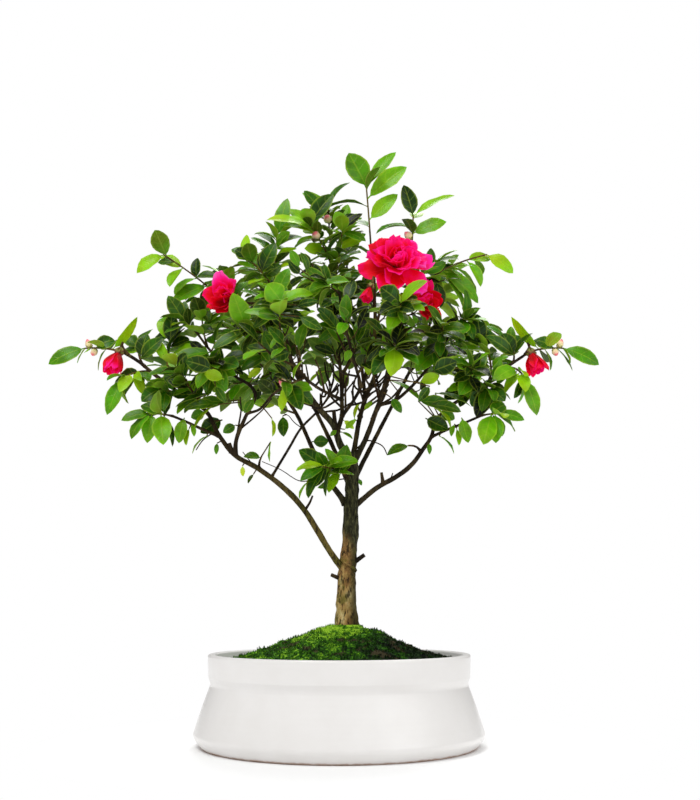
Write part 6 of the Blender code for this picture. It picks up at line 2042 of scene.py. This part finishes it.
# %% Open the blooms
# More petals than the solids have, inside the same reach: count, tilt, length, width, bend.
SIDE_WHORLS = ((4, 36, 25, 19, -0.4), (3, 12, 19, 15, -0.6))
CUP_WHORLS = ((4, 22, 24.5, 15, -0.45), (3, 10, 20, 12, -0.5))
INNER_WHORLS = {
    "open_bloom": ((5, 64, 33, 28, 0.1), (5, 42, 29, 25, -0.2), (4, 22, 25.5, 22, -0.4),
                   (2, 6, 22, 19, -0.55)),
    "left_bloom": SIDE_WHORLS,
    "right_bloom": SIDE_WHORLS,
    "left_tip_bloom": CUP_WHORLS,
    "right_tip_bloom": CUP_WHORLS,
    "hanging_bloom": ((3, 20, 15.5, 11.2, -0.5), (2, 8, 13.5, 9.5, -0.4)),
}
PINK_WHORL = (0.62, 0.58, 0.45, 0.66, 0.55, 0.5, 0.45)
SIDE_BLOOM_PINK = 0.3  # share of that pink that the side blooms have
# Petals that point along these ways are painted pinker, as a painted highlight.
PINK_HIGHLIGHT_WAY = {"open_bloom": (0.4, 0, -0.12), "left_bloom": (0, 0, 0.55), "right_bloom": (0, 0, 0.55)}
LOOSE = 0.3  # how far an inner petal leans out of its whorl, in radians
LONG_PETAL = 33  # the calyx of a bloom with shorter petals is smaller
CALYX = (  # count, how far ahead, radius, length, width, opening
    (4, 0.0, 0.001, 0.0085, 0.007, 0.75), (5, 0.0015, 0.0018, 0.011, 0.0085, 0.6))
CALYX_BEND = 1.1
PINK_VARIES = 0.22
BLOOM_SEED = 300


def open_bloom(number, name, place, facing, whorls):
    rng = random.Random(BLOOM_SEED + number)
    place, facing = MM * Vector(place), Vector(facing).normalized()
    bm = bmesh.new()
    for whorl, petal in whorl_petals(place, facing, whorls + INNER_WHORLS[name]):
        pink = PINK_WHORL[whorl] * (1 if name == "open_bloom" else SIDE_BLOOM_PINK)
        pink += petal.ahead.dot(Vector(PINK_HIGHLIGHT_WAY.get(name, (0, 0, 0))))
        tone = min(max(rng.gauss(pink, PINK_VARIES), 0.0), 1.0)
        if whorl >= len(whorls):
            axis = Vector([rng.gauss(0, 1) for _ in range(3)]).normalized()
            leant = Quaternion(axis, rng.gauss(0, LOOSE))
            petal.ahead, petal.up, petal.side = leant @ petal.ahead, leant @ petal.up, leant @ petal.side
        lay_petal(bm, petal, Ruffle(rng, 1.1 if len(whorls) > 1 else 0.5), tone)
    paint(bm.faces, PETALS)
    size = max(row[2] for row in whorls) / LONG_PETAL
    rows = [(count, forth, radius, size * long, size * wide, opening, CALYX_BEND)
            for count, forth, radius, long, wide, opening in CALYX]
    paint(lay_scales(bm, place - facing * CALYX_BACK, facing, rows), SCALES)
    finish_piece("petals_of_" + name, bm, [petal_red, bud_scale], [name], 80)


for number, (name, place, facing, limb, share, whorls) in enumerate(BLOOMS):
    open_bloom(number, name, place, facing, whorls)
print("faces of the blooms:", faces_of("petals"))

# %% [markdown]
# ## The last pieces
#
# Stalks carry the blooms, and buds stand on the twigs.

# %% Stalks and buds
def stalk_line(limb, share, place, facing):
    """The line of a bloom's stalk, from its limb to the back of the calyx."""
    facing = Vector(facing).normalized()
    base = MM * Vector(place) - facing * (CALYX_BACK + GAP)
    start = smooth_limbs[limb].at(min(share, PATH_END))
    back = base - facing * STALK_RUN
    middle = start.lerp(back, 0.5) + solid_limbs[limb].ahead(share) * STALK_RISE
    return smooth((start, middle, back, base), STALK_RADII)


def add_buds():
    bm = bmesh.new()
    for shoot, share, way, length in BUDS:
        root, way, length = twigs[shoot].at(share), Vector(way).normalized(), MM * length
        before = len(bm.faces)
        lay_bud(bm, root + way * 0.001, way, length * 0.98)
        bm.faces.ensure_lookup_table()
        paint(bm.faces[before:], PETALS)
        rows = ((4, 0.0, 0.0006, 0.5 * length, 0.42 * length, 0.85, 1.3),
                (4, 0.08 * length, 0.001, 0.62 * length, 0.46 * length, 0.7, 1.2))
        paint(lay_scales(bm, root, way, rows), SCALES)
    bmesh.ops.recalc_face_normals(bm, faces=bm.faces)
    finish_piece("buds", bm, [bud_cream, bud_scale], (), 80)


add_buds()
stalks = gather([grow_tube(stalk_line(limb, share, place, facing), BRANCH_SIDES, STEM_STEP,
                           young=0.35, collar=0.4)
                 for name, place, facing, limb, share, whorls in BLOOMS])
finish_piece("bloom_stalks", stalks, [bark], ["tree_wood"], 80)

# %% Finish
print("triangles:", sum(made_faces.values()))
